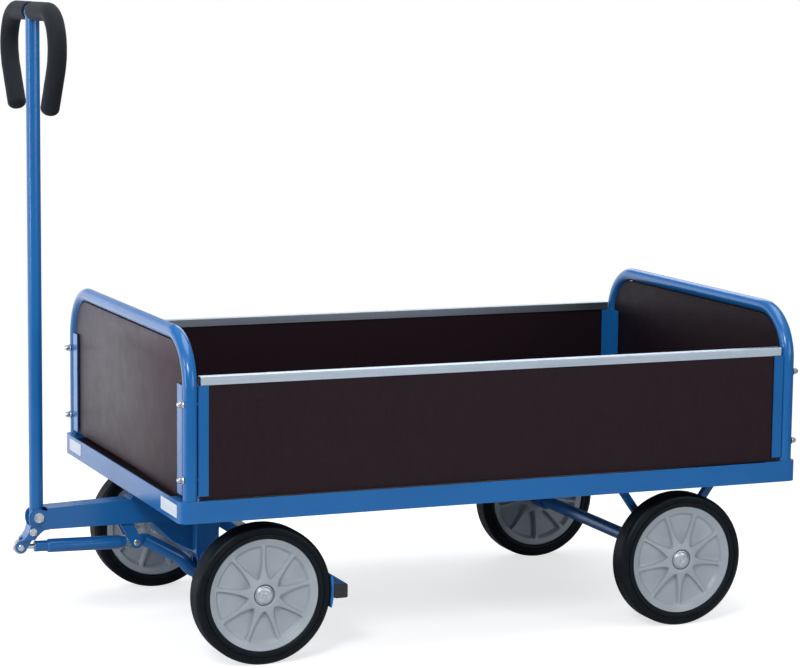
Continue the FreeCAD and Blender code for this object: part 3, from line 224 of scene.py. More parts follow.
def edge_strip():
    """Galvanised strip, drawn along X; its inner face is darkened, a painted shade for the dim
    room it reflects.
    """
    s = Surface("edge_strip", (0.70, 0.80, 0.90), 0.38, 0.92)
    s.rounded_edges(0.4 * MM)
    inside = s.calc("LESS_THAN", s.calc("MULTIPLY", s.facing()[1], s.axes(s.point)[1]), -0.1)
    streak = s.cloud(0.0016, 3, stretch=(0.010, 1.0, 1.0), rough=0.6)
    bloom = s.cloud(0.022, 5)
    colour = s.tones(streak, (0.56, 0.65, 0.75), (0.65, 0.74, 0.84), low=0.3)
    colour = s.mix(s.span(bloom, 0.4, 0.7, 0, 0.3), colour, (0.50, 0.59, 0.69))
    # painted shade: the inner face is mixed towards a dark grey-blue
    s.give("Base Color", s.mix(s.calc("MULTIPLY", inside, 0.75), colour, (0.11, 0.13, 0.16)))
    s.give("Roughness", s.span(streak, 0.25, 0.75, 0.33, 0.43))
    s.bump(streak, 0.008 * MM, 0.3)
    return s.material


def zinc():
    """Bright zinc plating with fine turning marks and a slight yellow-blue drift."""
    s = Surface("zinc", (0.66, 0.68, 0.70), 0.26, 0.95)
    s.rounded_edges(0.35 * MM)
    blue, yellow = (0.60, 0.64, 0.70), (0.74, 0.73, 0.69)
    s.give("Base Color", s.tones(s.cloud(0.012, 3), blue, yellow, high=0.65))
    s.give("Roughness", s.span(s.cloud(0.002, 3), 0.3, 0.7, 0.20, 0.38))
    s.bump(s.cloud(0.6 * MM, 2), 0.02 * MM, 0.6)
    return s.material


def cap_steel():
    """Pressed steel cap, dull zinc with handling marks."""
    s = Surface("cap_steel", (0.50, 0.54, 0.60), 0.36, 0.9)
    s.rounded_edges(0.4 * MM)
    marks = s.cloud(0.005, 5, rough=0.65)
    s.give("Base Color", s.tones(marks, (0.44, 0.48, 0.54), (0.60, 0.64, 0.69), high=0.65))
    s.give("Roughness", s.span(s.cloud(0.003, 3), 0.3, 0.7, 0.30, 0.46))
    s.bump(s.cloud(0.9 * MM, 3), 0.05 * MM, 0.6)
    return s.material


def tyre_rubber():
    """Matt solid rubber, faint moulding bloom and dust in the tread."""
    s = Surface("tyre", (0.0034, 0.0038, 0.0052), 0.44)
    bloom = s.cloud(0.02, 5)
    dust = s.span(s.cloud(0.008, 5, rough=0.7), 0.5, 0.8, 0.0, 0.35)
    colour = s.tones(bloom, (0.0026, 0.0030, 0.0042), (0.0050, 0.0054, 0.0070))
    s.give("Base Color", s.mix(s.calc("MULTIPLY", dust, 0.3), colour, (0.018, 0.017, 0.018)))
    s.give("Roughness", s.span(bloom, 0.3, 0.7, 0.38, 0.50))
    s.give("Specular IOR Level", 0.2)
    s.give("Specular Tint", (0.70, 0.88, 1.0, 1.0))
    s.bump(s.cloud(0.9 * MM, 4), 0.09 * MM, 0.5)
    return s.material


def grey_plastic():
    """Moulded rim plastic: fine spark-eroded grain, soft flow marks."""
    s = Surface("grey_plastic", (0.34, 0.385, 0.425), 0.36)
    flow = s.cloud(0.035, 4)
    s.give("Base Color", s.tones(flow, (0.325, 0.368, 0.408), (0.372, 0.412, 0.450)))
    s.give("Roughness", s.span(s.cloud(0.015, 3), 0.3, 0.7, 0.30, 0.42))
    s.give("Subsurface Weight", 0.06)
    s.give("Subsurface Radius", (0.004, 0.004, 0.004))
    s.give("Subsurface Scale", 1.0)
    s.bump(s.cloud(0.7 * MM, 3), 0.05 * MM, 0.45)
    return s.material


def foam():
    """Closed-cell grip foam: pores, a matt skin, long soft creases."""
    s = Surface("foam", (0.0095, 0.0118, 0.0165), 0.85)
    pores = s.node("ShaderNodeTexVoronoi", {"Vector": s.point, "Scale": 950.0}).outputs["Distance"]
    tone = s.cloud(0.02, 5)
    colour = s.tones(tone, (0.0078, 0.0100, 0.0145), (0.0135, 0.0160, 0.0210))
    # painted shade: the pores are darkened
    pore_shade = s.span(pores, 0.0, 0.35, 0.55, 0.0)
    s.give("Base Color", s.mix(pore_shade, colour, (0.004, 0.005, 0.007)))
    s.give("Roughness", s.span(tone, 0.3, 0.7, 0.76, 0.9))
    s.give("Sheen Weight", 0.05)
    s.give("Sheen Roughness", 0.5)
    s.give("Specular IOR Level", 0.2)
    s.bump(pores, 0.16 * MM, 0.55)
    s.bump(s.cloud(4 * MM, 4), 0.25 * MM, 0.4)
    return s.material


def black_plastic():
    """Grained plastic of the end caps."""
    s = Surface("black_plastic", (0.010, 0.010, 0.011), 0.45)
    s.rounded_edges(0.6 * MM)
    s.give("Base Color", s.tones(s.cloud(0.01, 4), (0.008, 0.008, 0.009), (0.016, 0.016, 0.018)))
    s.bump(s.cloud(0.6 * MM, 3), 0.06 * MM, 0.6)
    return s.material


def bush_plastic():
    """Bearing plastic, darkened by grease."""
    s = Surface("bush_plastic", (0.045, 0.045, 0.05), 0.35)
    s.give("Base Color", s.tones(s.cloud(0.006, 4), (0.035, 0.034, 0.034), (0.07, 0.07, 0.075)))
    s.bump(s.cloud(0.5 * MM, 2), 0.04 * MM, 0.5)
    return s.material


def blank_film():
    """Unprinted label film, darker and bluer along its edges."""
    s = Surface("blank_plate", (0.70, 0.75, 0.80), 0.4)
    edge = s.rounded_edges(0.5 * MM)
    colour = s.tones(s.cloud(0.01, 4), (0.64, 0.69, 0.75), (0.74, 0.78, 0.83))
    s.give("Base Color", s.mix(s.calc("MULTIPLY", edge, 0.5), colour, (0.42, 0.48, 0.56)))
    s.bump(s.cloud(2 * MM, 3), 0.05 * MM, 0.5)
    return s.material


def floor_paper():
    """Pale seamless paper that fades into the white background with distance."""
    glow = 0.68
    fade_start, fade_end = 0.8, 2.6
    s = Surface("floor_paper", (0.62, 0.63, 0.64), 0.85)
    s.give("Specular IOR Level", 0.1)
    s.give("Base Color", s.mix(s.cloud(0.9, 3), (0.60, 0.61, 0.62), (0.64, 0.645, 0.655)))
    s.bump(s.cloud(4 * MM, 3), 0.06 * MM, 0.3)
    seen = s.node("ShaderNodeLightPath").outputs["Is Camera Ray"]
    s.give("Emission Color", (1.0, 1.0, 1.0, 1.0))
    s.give("Emission Strength", s.calc("MULTIPLY", seen, glow))
    reach = s.node("ShaderNodeVectorMath", {0: s.point}, operation="LENGTH").outputs["Value"]
    clear = s.node("ShaderNodeBsdfTransparent").outputs[0]
    fade = s.span(reach, fade_start, fade_end)
    mixed = s.node("ShaderNodeMixShader", {0: fade, 1: s.shader.outputs[0], 2: clear})
    output = next(n for n in s.tree.nodes if n.type == "OUTPUT_MATERIAL")
    s.join(output.inputs["Surface"], mixed.outputs[0])
    return s.material


MATERIALS = {
    "blue_paint": blue_paint(),
    "side_board": film_board("side_board", "Y", 0.2),
    "end_board": film_board("end_board", "X", 0.27),
    "deck_film": film_board("deck_film", "Z", 0.2),
    "edge_strip": edge_strip(),
    "zinc": zinc(),
    "cap_steel": cap_steel(),
    "tyre": tyre_rubber(),
    "grey_plastic": grey_plastic(),
    "foam": foam(),
    "black_plastic": black_plastic(),
    "bush_plastic": bush_plastic(),
    "blank_plate": blank_film(),
}
BOARD_MATERIALS = {
    "deck_board": "deck_film", "front_end_panel": "end_board", "rear_end_panel": "end_board",
    "right_side_board": "side_board", "left_side_board": "side_board",
}


def dress_cad_nodes():
    """Give each CAD node the material that its record slot names."""
    slots = {part["node"]: part["material_slot"] for part in frame["record"]["subparts"]}
    for node, piece in frame["nodes"].items():
        material = MATERIALS[BOARD_MATERIALS.get(node, slots[node])]
        if not piece.material_slots:
            piece.data.materials.append(material)
        for material_slot in piece.material_slots:
            material_slot.material = material


# ---------------------------------------------------------------- mesh helpers

def new_piece(name, points, faces, material, body, nodes=(), smooth_angle=40):
    """A mesh piece that rides on a body and may stand for CAD nodes."""
    mesh = bpy.data.meshes.new(name)
    mesh.from_pydata([tuple(p) for p in points], [], faces)
    mesh.materials.append(MATERIALS[material])
    for polygon in mesh.polygons:
        polygon.use_smooth = True
    mesh.set_sharp_from_angle(angle=math.radians(smooth_angle))
    mesh.update()
    piece = bpy.data.objects.new(name, mesh)
    bpy.context.scene.collection.objects.link(piece)
    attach(piece, body)
    if nodes:
        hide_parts(*nodes)
    return piece


def grid_faces(rows, columns, wrap_rows=False):
    """Quads of a grid whose columns wrap round."""
    faces = []
    for i in range(rows if wrap_rows else rows - 1):
        below = i * columns
        above = ((i + 1) % rows) * columns
        for j in range(columns):
            k = (j + 1) % columns
            faces.append((below + j, below + k, above + k, above + j))
    return faces


def capped_faces(rows, columns):
    """The same grid with its first and last row closed by one face each."""
    last = (rows - 1) * columns
    return grid_faces(rows, columns) + [tuple(reversed(range(columns))),
                                        tuple(range(last, last + columns))]


def polar(radius, angle, height):
    """A point by its distance from Z, its angle about Z and its height."""
    return Vector((radius * math.cos(angle), radius * math.sin(angle), height))


def rounded(corners, steps=5):
    """Profile points from corners (radius, height) or, to be blunted, (radius, height, reach)."""
    points = []
    for i, corner in enumerate(corners):
        here = Vector(corner[:2])
        if len(corner) == 2:
            points.append(here)
            continue
        blunt = corner[2]
        before = Vector(corners[i - 1][:2]) - here
        after = Vector(corners[i + 1][:2]) - here
        reach = min(blunt, 0.48 * before.length, 0.48 * after.length)
        start = here + before.normalized() * reach
        end = here + after.normalized() * reach
        for k in range(steps + 1):
            t = k / steps
            points.append(start * (1 - t) ** 2 + here * (2 * t * (1 - t)) + end * t * t)
    return points


def turned(profile, columns):
    """Points of a profile turned about Z; profile points are (radius, height)."""
    return [polar(radius, FULL_TURN * j / columns, height)
            for radius, height in profile for j in range(columns)]


def facing_matrix(at, direction):
    """Places a shape's own Z along a direction."""
    return Matrix.Translation(at) @ Vector(direction).to_track_quat("Z", "Y").to_matrix().to_4x4()


def merge(parts):
    """Join (points, faces) shapes into one."""
    points, faces = [], []
    for more_points, more_faces in parts:
        shift = len(points)
        points += more_points
        faces += [tuple(shift + i for i in face) for face in more_faces]
    return points, faces


def moved(shape, matrix):
    """A shape put somewhere else by a matrix."""
    points, faces = shape
    return [matrix @ p for p in points], faces


def closed_turning(profile, columns=64):
    """A solid turned from a profile that starts and ends on the axis."""
    rings = profile[1:-1]
    points = turned(rings, columns)
    faces = grid_faces(len(rings), columns)
    for ring, tip in ((0, profile[0]), (len(rings) - 1, profile[-1])):
        hub = len(points)
        points.append(Vector((0, 0, tip[1])))
        for j in range(columns):
            here, ahead = ring * columns + j, ring * columns + (j + 1) % columns
            faces.append((ahead, here, hub) if ring == 0 else (here, ahead, hub))
    return points, faces


def hexagon_radius(angle, across):
    """Distance from the axis to a hexagon's edge, by the half width across flats."""
    sixth = math.pi / 3
    return across / math.cos((angle + sixth / 2) % sixth - sixth / 2)


def hex_head(across, thick, turn=0.0, dish=0.0):
    """A six-sided head with a chamfered, round-cornered crown and a washer face."""
    columns = 96
    crown_edge, washer_edge = 0.95 * across, 0.97 * across
    angles = [FULL_TURN * j / columns for j in range(columns)]
    rings = []
    for share in (0.30, 0.62, 0.88, 0.95):
        drop = dish if share < 0.7 else 0.0
        rings.append([(share * across, thick - drop)] * columns)
    wall = [hexagon_radius(angle + turn, across) for angle in angles]
    for share, slope in ((0.985, 0.25), (1.0, 0.6)):
        rings.append([(w * share, thick - (w - crown_edge) * slope) for w in wall])
    rings.append([(w, 0.45 * MM) for w in wall])
    rings.append([(washer_edge, 0.35 * MM)] * columns)
    rings.append([(washer_edge, 0.0)] * columns)
    points = [polar(radius, angle, height)
              for ring in rings for angle, (radius, height) in zip(angles, ring)]
    return points, [tuple(reversed(face)) for face in capped_faces(len(rings), columns)]


def sweep(path, radius_at, columns, side):
    """A round bar along a path that keeps across a side vector; radius_at gives its
    radius by the share of the length and by the length itself."""
    lengths = [0.0]
    for before, after in zip(path, path[1:]):
        lengths.append(lengths[-1] + (after - before).length)
    points = []
    for i, at in enumerate(path):
        ahead = (path[min(i + 1, len(path) - 1)] - path[max(i - 1, 0)]).normalized()
        up = ahead.cross(side).normalized()
        flank = up.cross(ahead).normalized()
        radius = radius_at(lengths[i] / lengths[-1], lengths[i])
        for j in range(columns):
            angle = FULL_TURN * j / columns
            points.append(at + flank * (radius * math.cos(angle))
                          + up * (radius * math.sin(angle)))
    return points, capped_faces(len(path), columns)


def fillet_path(corners, step):
    """Even points along straight runs joined by arcs; corners are (point, round)."""
    path = [corners[0][0]]
    for i in range(1, len(corners) - 1):
        at, radius = corners[i]
        back = (corners[i - 1][0] - at).normalized()
        ahead = (corners[i + 1][0] - at).normalized()
        half = back.angle(ahead) / 2
        run = radius / math.tan(half)
        centre = at + (back + ahead).normalized() * (radius / math.sin(half))
        start = at + back * run - centre
        turn = math.pi - 2 * half
        axis = start.cross(at + ahead * run - centre).normalized()
        count = max(4, round(radius * turn / step))
        for k in range(count + 1):
            path.append(centre + Matrix.Rotation(turn * k / count, 3, axis) @ start)
    path.append(corners[-1][0])
    even = [path[0]]
    for point in path[1:]:
        start = even[-1]
        gap = point - start
        pieces = max(1, round(gap.length / step))
        if gap.length > 0.4 * step:
            even += [start + gap * (k / pieces) for k in range(1, pieces + 1)]
    return even


# ---------------------------------------------------------------- wheels

SPOKES = 9


def tyre_profile(radius, half):
    """Section of the tyre from one seat to the other, (radius, along the axle)."""
    # millimetres: out from the seat, in from the flank, reach of the blunt corner
    flank = [(0.3, 1.9, 0.8), (2.2, 0.3, 1.2), (9.0, 0.0, 0.6), (9.4, 2.4, 0.3),
             (10.5, 2.5, 0.3), (10.9, 0.9, 0.5)]
    for line in (12.8, 15.2):
        flank += [(line, 1.0, 0.2), (line + 0.5, 1.6, 0.2), (line + 1.0, 1.1, 0.2)]
    # millimetres: below the tread, out from the tyre's middle, reach of the blunt corner
    tread = []
    for groove in (11.6, 5.8):
        tread += [(0.0, groove + 1.1, 0.4), (1.3, groove + 0.7, 0.3),
                  (1.3, groove - 0.7, 0.3), (0.0, groove - 1.1, 0.4)]
    tread += [(0.0, 1.1, 0.4), (1.3, 0.6, 0.3)]
    seat = radius - 24.6 * MM
    side = [(seat, half - 4.6 * MM)]
    side += [(seat + out * MM, half - inset * MM, reach * MM) for out, inset, reach in flank]
    side += [(radius - 4.5 * MM, half - 2.3 * MM, 3.0 * MM),
             (radius - 0.2 * MM, half - 7.2 * MM, 3.0 * MM)]
    side += [(radius - below * MM, out * MM, reach * MM) for below, out, reach in tread]
    other = [(corner[0], -corner[1]) + corner[2:] for corner in reversed(side)]
    return rounded(side + other, 4)


def rim_crest(radius):
    """Height of spokes, hub and ring above the wheel's middle, on the outer side."""
    stations = [13.6, 17.0, 17.5, 18.7, 19.0, 19.4, 20.2, 21.6, 24.0, 27.0, 31.0, 40.0, 55.0,
                75.0, 82.0, 86.0, 90.0, 94.0, 97.0, 99.0, 99.8, 100.4]
    heights = [18.0, 18.0, 15.0, 15.0, 18.8, 21.0, 21.8, 22.0, 21.5, 21.2, 20.2, 18.4, 16.9,
               15.9, 15.3, 15.4, 16.4, 18.3, 20.0, 20.9, 20.8, 20.0]
    return float(np.interp(radius / MM, stations, heights)) * MM


def rim_crest_behind(radius):
    """The same on the inner side, as a depth below the wheel's middle."""
    stations = [13.6, 27.0, 31.0, 40.0, 84.0, 88.0, 99.0, 100.4]
    heights = [23.8, 23.6, 22.0, 19.0, 18.0, 19.5, 20.9, 20.2]
    return float(np.interp(radius / MM, stations, heights)) * MM


def smooth_step(value):
    """A soft rise from 0 to 1, held at both ends."""
    value = min(1.0, max(0.0, value))
    return value * value * (3 - 2 * value)


def spoke_half_width(radius):
    """Spokes flare into the hub and, a little, into the ring."""
    flare = 5.6 * MM * math.exp(-(radius - 31 * MM) / (12.5 * MM))
    foot = 1.3 * MM * smooth_step((radius - 78 * MM) / (10 * MM))
    return 1.75 * MM + flare + foot


def rim_height(radius, across, crest, floor, wall):
    """Pocket floor, raised to the crest on spokes, hub and ring."""
    open_spoke = smooth_step((across - spoke_half_width(radius)) / wall)
    open_ring = smooth_step((89.0 * MM - radius) / (6.5 * MM))
    open_hub = smooth_step((radius - 28.0 * MM) / (5.0 * MM))
    share = 1 - open_spoke * open_ring * open_hub
    return floor + (crest(radius) - floor) * share


def rim_shape(phase):
    """A nine-spoke moulded rim about the Z axis, outer side up."""
    wall = 2.6 * MM
    floor, floor_behind = 10.4 * MM, 6.2 * MM
    steps_on_wall = (0.14, 0.3, 0.5, 0.7, 0.86, 1.0)
    steps_in_pocket = (0.3, 0.65, 1.0)
    stations = [13.6, 17.0, 17.5, 18.7, 19.0, 19.4, 20.2, 21.6, 24.0, 26.0, 28.0, 29.2, 30.4,
                31.6, 32.8, 34.4, 36.5, 39.5, 43.0, 47.0, 52.0, 57.0, 62.0, 67.0, 72.0, 76.0,
                79.5, 82.0, 83.0, 84.0, 85.0, 86.0, 87.0, 88.0, 89.0, 90.5, 92.5, 94.5, 96.5,
                98.3, 99.3, 99.9, 100.4]
    half_sector = math.pi / SPOKES
    rings = [(r * MM, rim_crest, floor, 1) for r in stations]
    rings += [(r * MM, rim_crest_behind, floor_behind, -1) for r in reversed(stations)]
    points = []
    for radius, crest, pocket, sign in rings:
        width = spoke_half_width(radius)
        reach = radius * math.sin(half_sector)
        lines = [0.0, 0.55 * width, width] + [width + wall * t for t in steps_on_wall]
        squeeze = min(1.0, 0.9 * reach / lines[-1])
        angles = [math.asin(line * squeeze / radius) for line in lines]
        last = angles[-1]
        angles += [last + (half_sector - last) * t for t in steps_in_pocket]
        sector = angles + [2 * half_sector - a for a in reversed(angles[1:-1])]
        for k in range(SPOKES):
            for angle in sector:
                across = radius * math.sin(min(angle, 2 * half_sector - angle))
                height = sign * rim_height(radius, across, crest, pocket, wall)
                points.append(polar(radius, phase + 2 * half_sector * k + angle, height))
    return points, grid_faces(len(rings), len(points) // len(rings), wrap_rows=True)


def wheels():
    """Tyres and rims; a front rim has one spoke straight up, a rear one straight down."""
    columns = 192
    up = Vector((0, 0, 1))
    for axle, phase in (("front", math.pi / 2), ("rear", -math.pi / 2)):
        for side, sign in SIDES.items():
            name = "%s_%s" % (axle, side)
            body = name + "_wheel"
            low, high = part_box(name + "_tyre")
            # own Z points outwards and own Y up
            outward = Vector((0, sign, 0))
            axes = Matrix((up.cross(outward), up, outward))
            place = Matrix.Translation((low + high) / 2) @ axes.transposed().to_4x4()
            section = tyre_profile((high.z - low.z) / 2, (high.y - low.y) / 2)
            faces = grid_faces(len(section), columns, wrap_rows=True)
            rubber = turned(section, columns), [tuple(reversed(face)) for face in faces]
            points, faces = moved(rubber, place)
            new_piece(body + "_tyre", points, faces, "tyre", body, [name + "_tyre"])
            points, faces = moved(rim_shape(phase), place)
            new_piece(body + "_rim", points, faces, "grey_plastic", body,
                      [name + "_rim"], smooth_angle=60)


def cap_shape(radius, dimpled):
    """A pressed cap about the Z axis, from its rim to its middle."""
    columns = 96
    dimples, dimple_depth = 12, 0.45
    # share of the radius, height in millimetres
    rings = [(1.0, 0.0), (1.0, 1.1), (0.985, 1.5), (0.93, 1.9), (0.89, 2.0), (0.86, 2.6),
             (0.80, 4.1), (0.74, 4.7)]
    if dimpled:
        rings += [(0.66, 4.9), (0.60, 4.9), (0.57, 5.3), (0.50, 5.4), (0.44, 5.4), (0.36, 5.4),
                  (0.28, 5.4), (0.24, 5.9), (0.16, 5.9), (0.12, 5.5), (0.05, 5.4)]
    else:
        rings += [(0.62, 5.2), (0.48, 5.5), (0.34, 5.7), (0.22, 5.7), (0.17, 5.2), (0.13, 5.2),
                  (0.10, 5.9), (0.04, 6.0)]
    points = []
    for share, height in rings:
        for j in range(columns):
            angle = FULL_TURN * j / columns
            dent = 0.0
            if dimpled and 0.30 < share < 0.55:
                dent = dimple_depth * smooth_step(math.sin(dimples * angle) * 0.5 + 0.5)
            points.append(polar(share * radius, angle, (height - dent) * MM))
    return points, capped_faces(len(rings), columns)


def hub_caps():
    """Pressed push-on caps: dimples round the front ones, a small pip on the rear ones."""
    thick = 6 * MM
    for axle, body in (("front", "bogie"), ("rear", "chassis")):
        node = axle + "_hub_caps"
        low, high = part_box(node)
        centre = (low + high) / 2
        cap = cap_shape((high.z - low.z) / 2, dimpled=axle == "front")
        parts = []
        for sign in SIDES.values():
            outer = low.y if sign < 0 else high.y
            at = Vector((centre.x, outer - sign * thick, centre.z))
            parts.append(moved(cap, facing_matrix(at, (0, sign, 0))))
        points, faces = merge(parts)
        new_piece(axle + "_push_caps", points, faces, "cap_steel", body, [node],
                  smooth_angle=50)


# ---------------------------------------------------------------- grips

GRIP_RADIUS = 17 * MM


def grip_path(name, sign):
    """Centre line of one foam grip, from beside the drawbar to its rounded end."""
    low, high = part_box(name)
    x = (low.x + high.x) / 2
    top = high.z - GRIP_RADIUS
    out = max(abs(low.y), abs(high.y)) - GRIP_RADIUS
    start = min(abs(low.y), abs(high.y)) + 0.2 * MM
    knee = top - 83 * MM
    end_out, end_high = out - 56.4 * MM, low.z + 5.8 * MM
    corners = [(start, top, 0), (out, top, 62 * MM), (out, knee, 80 * MM), (end_out, end_high, 0)]
    return fillet_path([(Vector((x, sign * y, z)), bend) for y, z, bend in corners], 1.6 * MM)


def grip(side, sign):
    """Foam tube over the bow: creased, and rippled on the inside of its bends."""
    columns = 56
    mouth, mouth_drop = 2.2 * MM, 1.6 * MM
    end_round = 12 * MM
    skin_radius, settled = GRIP_RADIUS - 0.1 * MM, 0.25 * MM
    # frequency per metre, height
    fine, fine_height = 260, 0.10 * MM
    soft, soft_height = 70, 0.25 * MM
    ripple_height = 0.09 * MM
    name = side + "_grip"
    path = grip_path(name, sign)
    length = sum((b - a).length for a, b in zip(path, path[1:]))

    def radius_at(_share, along):
        left = length - along
        start = min(1.0, along / mouth)
        radius = skin_radius - mouth_drop * (1 - math.sqrt(1 - (1 - start) ** 2))
        if left < end_round:
            radius *= math.sqrt(max(0.03, 1 - ((end_round - left) / end_round) ** 2.4))
        return radius

    points, faces = sweep(path, radius_at, columns, Vector((1, 0, 0)))
    shaped = []
    for i, point in enumerate(points):
        at = path[i // columns]
        outward = (point - at).normalized()
        creased = noise.noise(point * fine) * fine_height + noise.noise(point * soft) * soft_height
        inside = max(0.0, -outward.y * sign)
        ripple = math.sin(at.z * 820 + at.y * 500) * ripple_height * inside
        shaped.append(point + outward * (creased + ripple - settled))
    new_piece(name + "_foam", shaped, faces, "foam", "drawbar", [name], 70)


# ---------------------------------------------------------------- end panels

def arch_outline(half_width, bottom, top, corner):
    """(y, z) points of a board whose two upper corners are round."""
    steps = 24
    points = [(-half_width, bottom), (half_width, bottom)]
    for side, first in ((1, 0.0), (-1, math.pi / 2)):
        for k in range(steps + 1):
            angle = first + math.pi / 2 * k / steps
            points.append((side * (half_width - corner) + corner * math.cos(angle),
                           top - corner + corner * math.sin(angle)))
    return points


def end_panels():
    """Boards with broken edges, each pushed up under the bend of its end tube."""
    edge = 1.2 * MM
    part_edge = 0.3 * edge
    corner, gap = 73 * MM, 0.6 * MM
    for end in ("front", "rear"):
        node = end + "_end_panel"
        low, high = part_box(node)
        arch_low, arch_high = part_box(end + "_end_tube")
        top = arch_high.z - (arch_high.x - arch_low.x) - gap
        rings = []
        for x, inset in ((low.x, edge), (low.x + part_edge, part_edge), (low.x + edge, 0.0),
                         (high.x - edge, 0.0), (high.x - part_edge, part_edge), (high.x, edge)):
            outline = arch_outline(high.y - inset, low.z + inset, top - inset, corner - inset)
            rings.append([Vector((x, y, z)) for y, z in outline])
        points = [point for ring in rings for point in ring]
        faces = capped_faces(len(rings), len(rings[0]))
        new_piece(end + "_board", points, faces, "end_board", "chassis", [node], 30)


# ---------------------------------------------------------------- bolts, nuts, pins

def dome_nuts():
    """Flanged dome nuts on the end tubes, with the screw's end hidden inside."""
    low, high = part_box("corner_dome_nuts")
    flange = 7 * MM
    across = 5.1 * MM
    tall = 11 * MM
    collar = [(0, 0), (flange, 0, 0.2 * MM), (flange, 1.1 * MM, 0.5 * MM),
              (across * 1.12, 2.2 * MM, 0.4 * MM), (0.2 * MM, 2.3 * MM), (0, 2.3 * MM)]
    dome = [(0, 2 * MM), (0.96 * across, 2 * MM), (0.96 * across, 6.6 * MM, 2.2 * MM),
            (0.90 * across, 8.9 * MM, 2.4 * MM), (0.62 * across, 10.6 * MM, 2.4 * MM), (0, tall)]
    hexagon = moved(hex_head(across, 4.6 * MM), Matrix.Translation((0, 0, 1.8 * MM)))
    nut = merge([closed_turning(rounded(collar)), hexagon, closed_turning(rounded(dome))])
    parts = []
    for end, face in ((-1, low.x), (1, high.x)):
        for y in (low.y + flange, high.y - flange):
            for z in (low.z + flange, high.z - flange):
                at = Vector((face - end * tall, y, z))
                parts.append(moved(nut, facing_matrix(at, (end, 0, 0))))
    points, faces = merge(parts)
    new_piece("dome_nuts", points, faces, "zinc", "chassis", ["corner_dome_nuts"])


def brake_strut():
    """Turned strut between the lever pin and the bow pin, with a neck at each end."""
    start = box_centre("lever_pin")
    end = box_centre("bow_pin")
    tube_radius, front_neck, rear_neck = 12.5 * MM, 10 * MM, 10.2 * MM
    first = 26 * MM
    last = (end - start).length - 18 * MM
    profile = [(0, first), (front_neck, first, 0.8 * MM), (front_neck, first + 24 * MM, 0.6 * MM),
               (tube_radius, first + 25.5 * MM, 1.0 * MM), (tube_radius, last - 12 * MM, 2.0 * MM),
               (rear_neck, last - 7.5 * MM, 2.0 * MM), (rear_neck, last, 0.6 * MM), (0, last)]
    tube = closed_turning(rounded(profile))
    points, faces = moved(tube, facing_matrix(start, end - start))
    new_piece("strut_body", points, faces, "blue_paint", "brake_strut",
              ["strut_tube"])


def washer(radius):
    """A plain washer that the head or nut sits on."""
    thick = 1.3 * MM
    return closed_turning(rounded([(0, 0), (radius, 0, 0.2 * MM), (radius, thick, 0.4 * MM),
                                   (0.3 * radius, thick), (0, thick)]))


def cross_bolt(node, body, across, thick, radius, washer_radius=0.0):
    """A bolt with washers and a nut, or without them a pin with one round head at -Y.

    The head is thick along Y and reaches across from the axis; radius is the shank's."""
    low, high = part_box(node)
    centre = (low + high) / 2
    right = Vector((centre.x, low.y + thick, centre.z))
    if washer_radius:
        head = hex_head(across, thick, math.radians(10), 0.5 * MM)
    else:
        crown = [(0, 0), (across, 0, 0.2 * MM), (across, 0.45 * thick, 0.6 * MM),
                 (0.75 * across, 0.9 * thick, 1.6 * MM), (0.4 * across, thick, 1.2 * MM),
                 (0, thick)]
        head = closed_turning(rounded(crown))
    parts = [moved(head, facing_matrix(right, (0, -1, 0)))]
    span = high.y - right.y
    shank = [(0, -0.1 * MM), (radius, -0.1 * MM), (radius, span - 0.8 * MM),
             (radius - 0.7 * MM, span), (0, span)]
    parts.append(moved(closed_turning(shank, 40), facing_matrix(right, (0, 1, 0))))
    if washer_radius:
        left = Vector((centre.x, -right.y, centre.z))
        parts.append(moved(hex_head(across, thick), facing_matrix(left, (0, 1, 0))))
        parts.append(moved(washer(washer_radius), facing_matrix(right, (0, -1, 0))))
        parts.append(moved(washer(washer_radius), facing_matrix(left, (0, 1, 0))))
    points, faces = merge(parts)
    new_piece(node + "_detail", points, faces, "zinc", body, [node])


# ---------------------------------------------------------------- welds

BEAD_COLUMNS = 12
BEAD_RADIUS = 2.2 * MM


def rippled(radius, along):
    """Radius of a weld bead at a distance along it."""
    ripple = 1.9 * MM
    return radius * (1 + 0.10 * math.sin(FULL_TURN * along / ripple))


def bead(start, end, radius=BEAD_RADIUS):
    """A straight weld bead along X or Y: a rippled low bar with tapered ends."""
    step = 0.5 * MM

    def radius_at(share, along):
        taper = min(1.0, 12 * share + 0.35, 12 * (1 - share) + 0.35)
        return rippled(radius * taper, along)

    run = end - start
    count = max(1, round(run.length / step))
    path = [start] + [start + run * (k / count) for k in range(1, count + 1)]
    side = Vector((0, 1, 0)) if abs(run.x) > abs(run.y) else Vector((1, 0, 0))
    return sweep(path, radius_at, BEAD_COLUMNS, side)


def ring_bead(centre, axis, ring_radius, radius=BEAD_RADIUS):
    """A weld bead round a bar."""
    step = 0.6 * MM
    place = facing_matrix(centre, axis)
    round_length = ring_radius * FULL_TURN
    count = max(24, round(round_length / step))
    points = []
    for i in range(count + 1):
        size = rippled(radius, round_length * i / count)
        for j in range(BEAD_COLUMNS):
            tilt = FULL_TURN * j / BEAD_COLUMNS
            reach = ring_radius + size * math.cos(tilt)
            points.append(place @ polar(reach, FULL_TURN * i / count, size * math.sin(tilt)))
    return points, capped_faces(count + 1, BEAD_COLUMNS)


def saddle_bead(loop):
    """A closed weld bead where one tube meets another; its ripples are four points long."""
    radius = 2.0 * MM
    count = len(loop)
    centre = sum(loop, Vector()) / count
    points = []
    for i, at in enumerate(loop):
        ahead = (loop[(i + 1) % count] - loop[i - 1]).normalized()
        up = ahead.cross((at - centre).normalized()).normalized()
        outward = up.cross(ahead).normalized()
        size = radius * (1 + 0.12 * math.sin(FULL_TURN * i / 4))
        for j in range(BEAD_COLUMNS):
            tilt = FULL_TURN * j / BEAD_COLUMNS
            points.append(at + outward * (size * math.cos(tilt)) + up * (size * math.sin(tilt)))
    return points, grid_faces(count, BEAD_COLUMNS, wrap_rows=True)


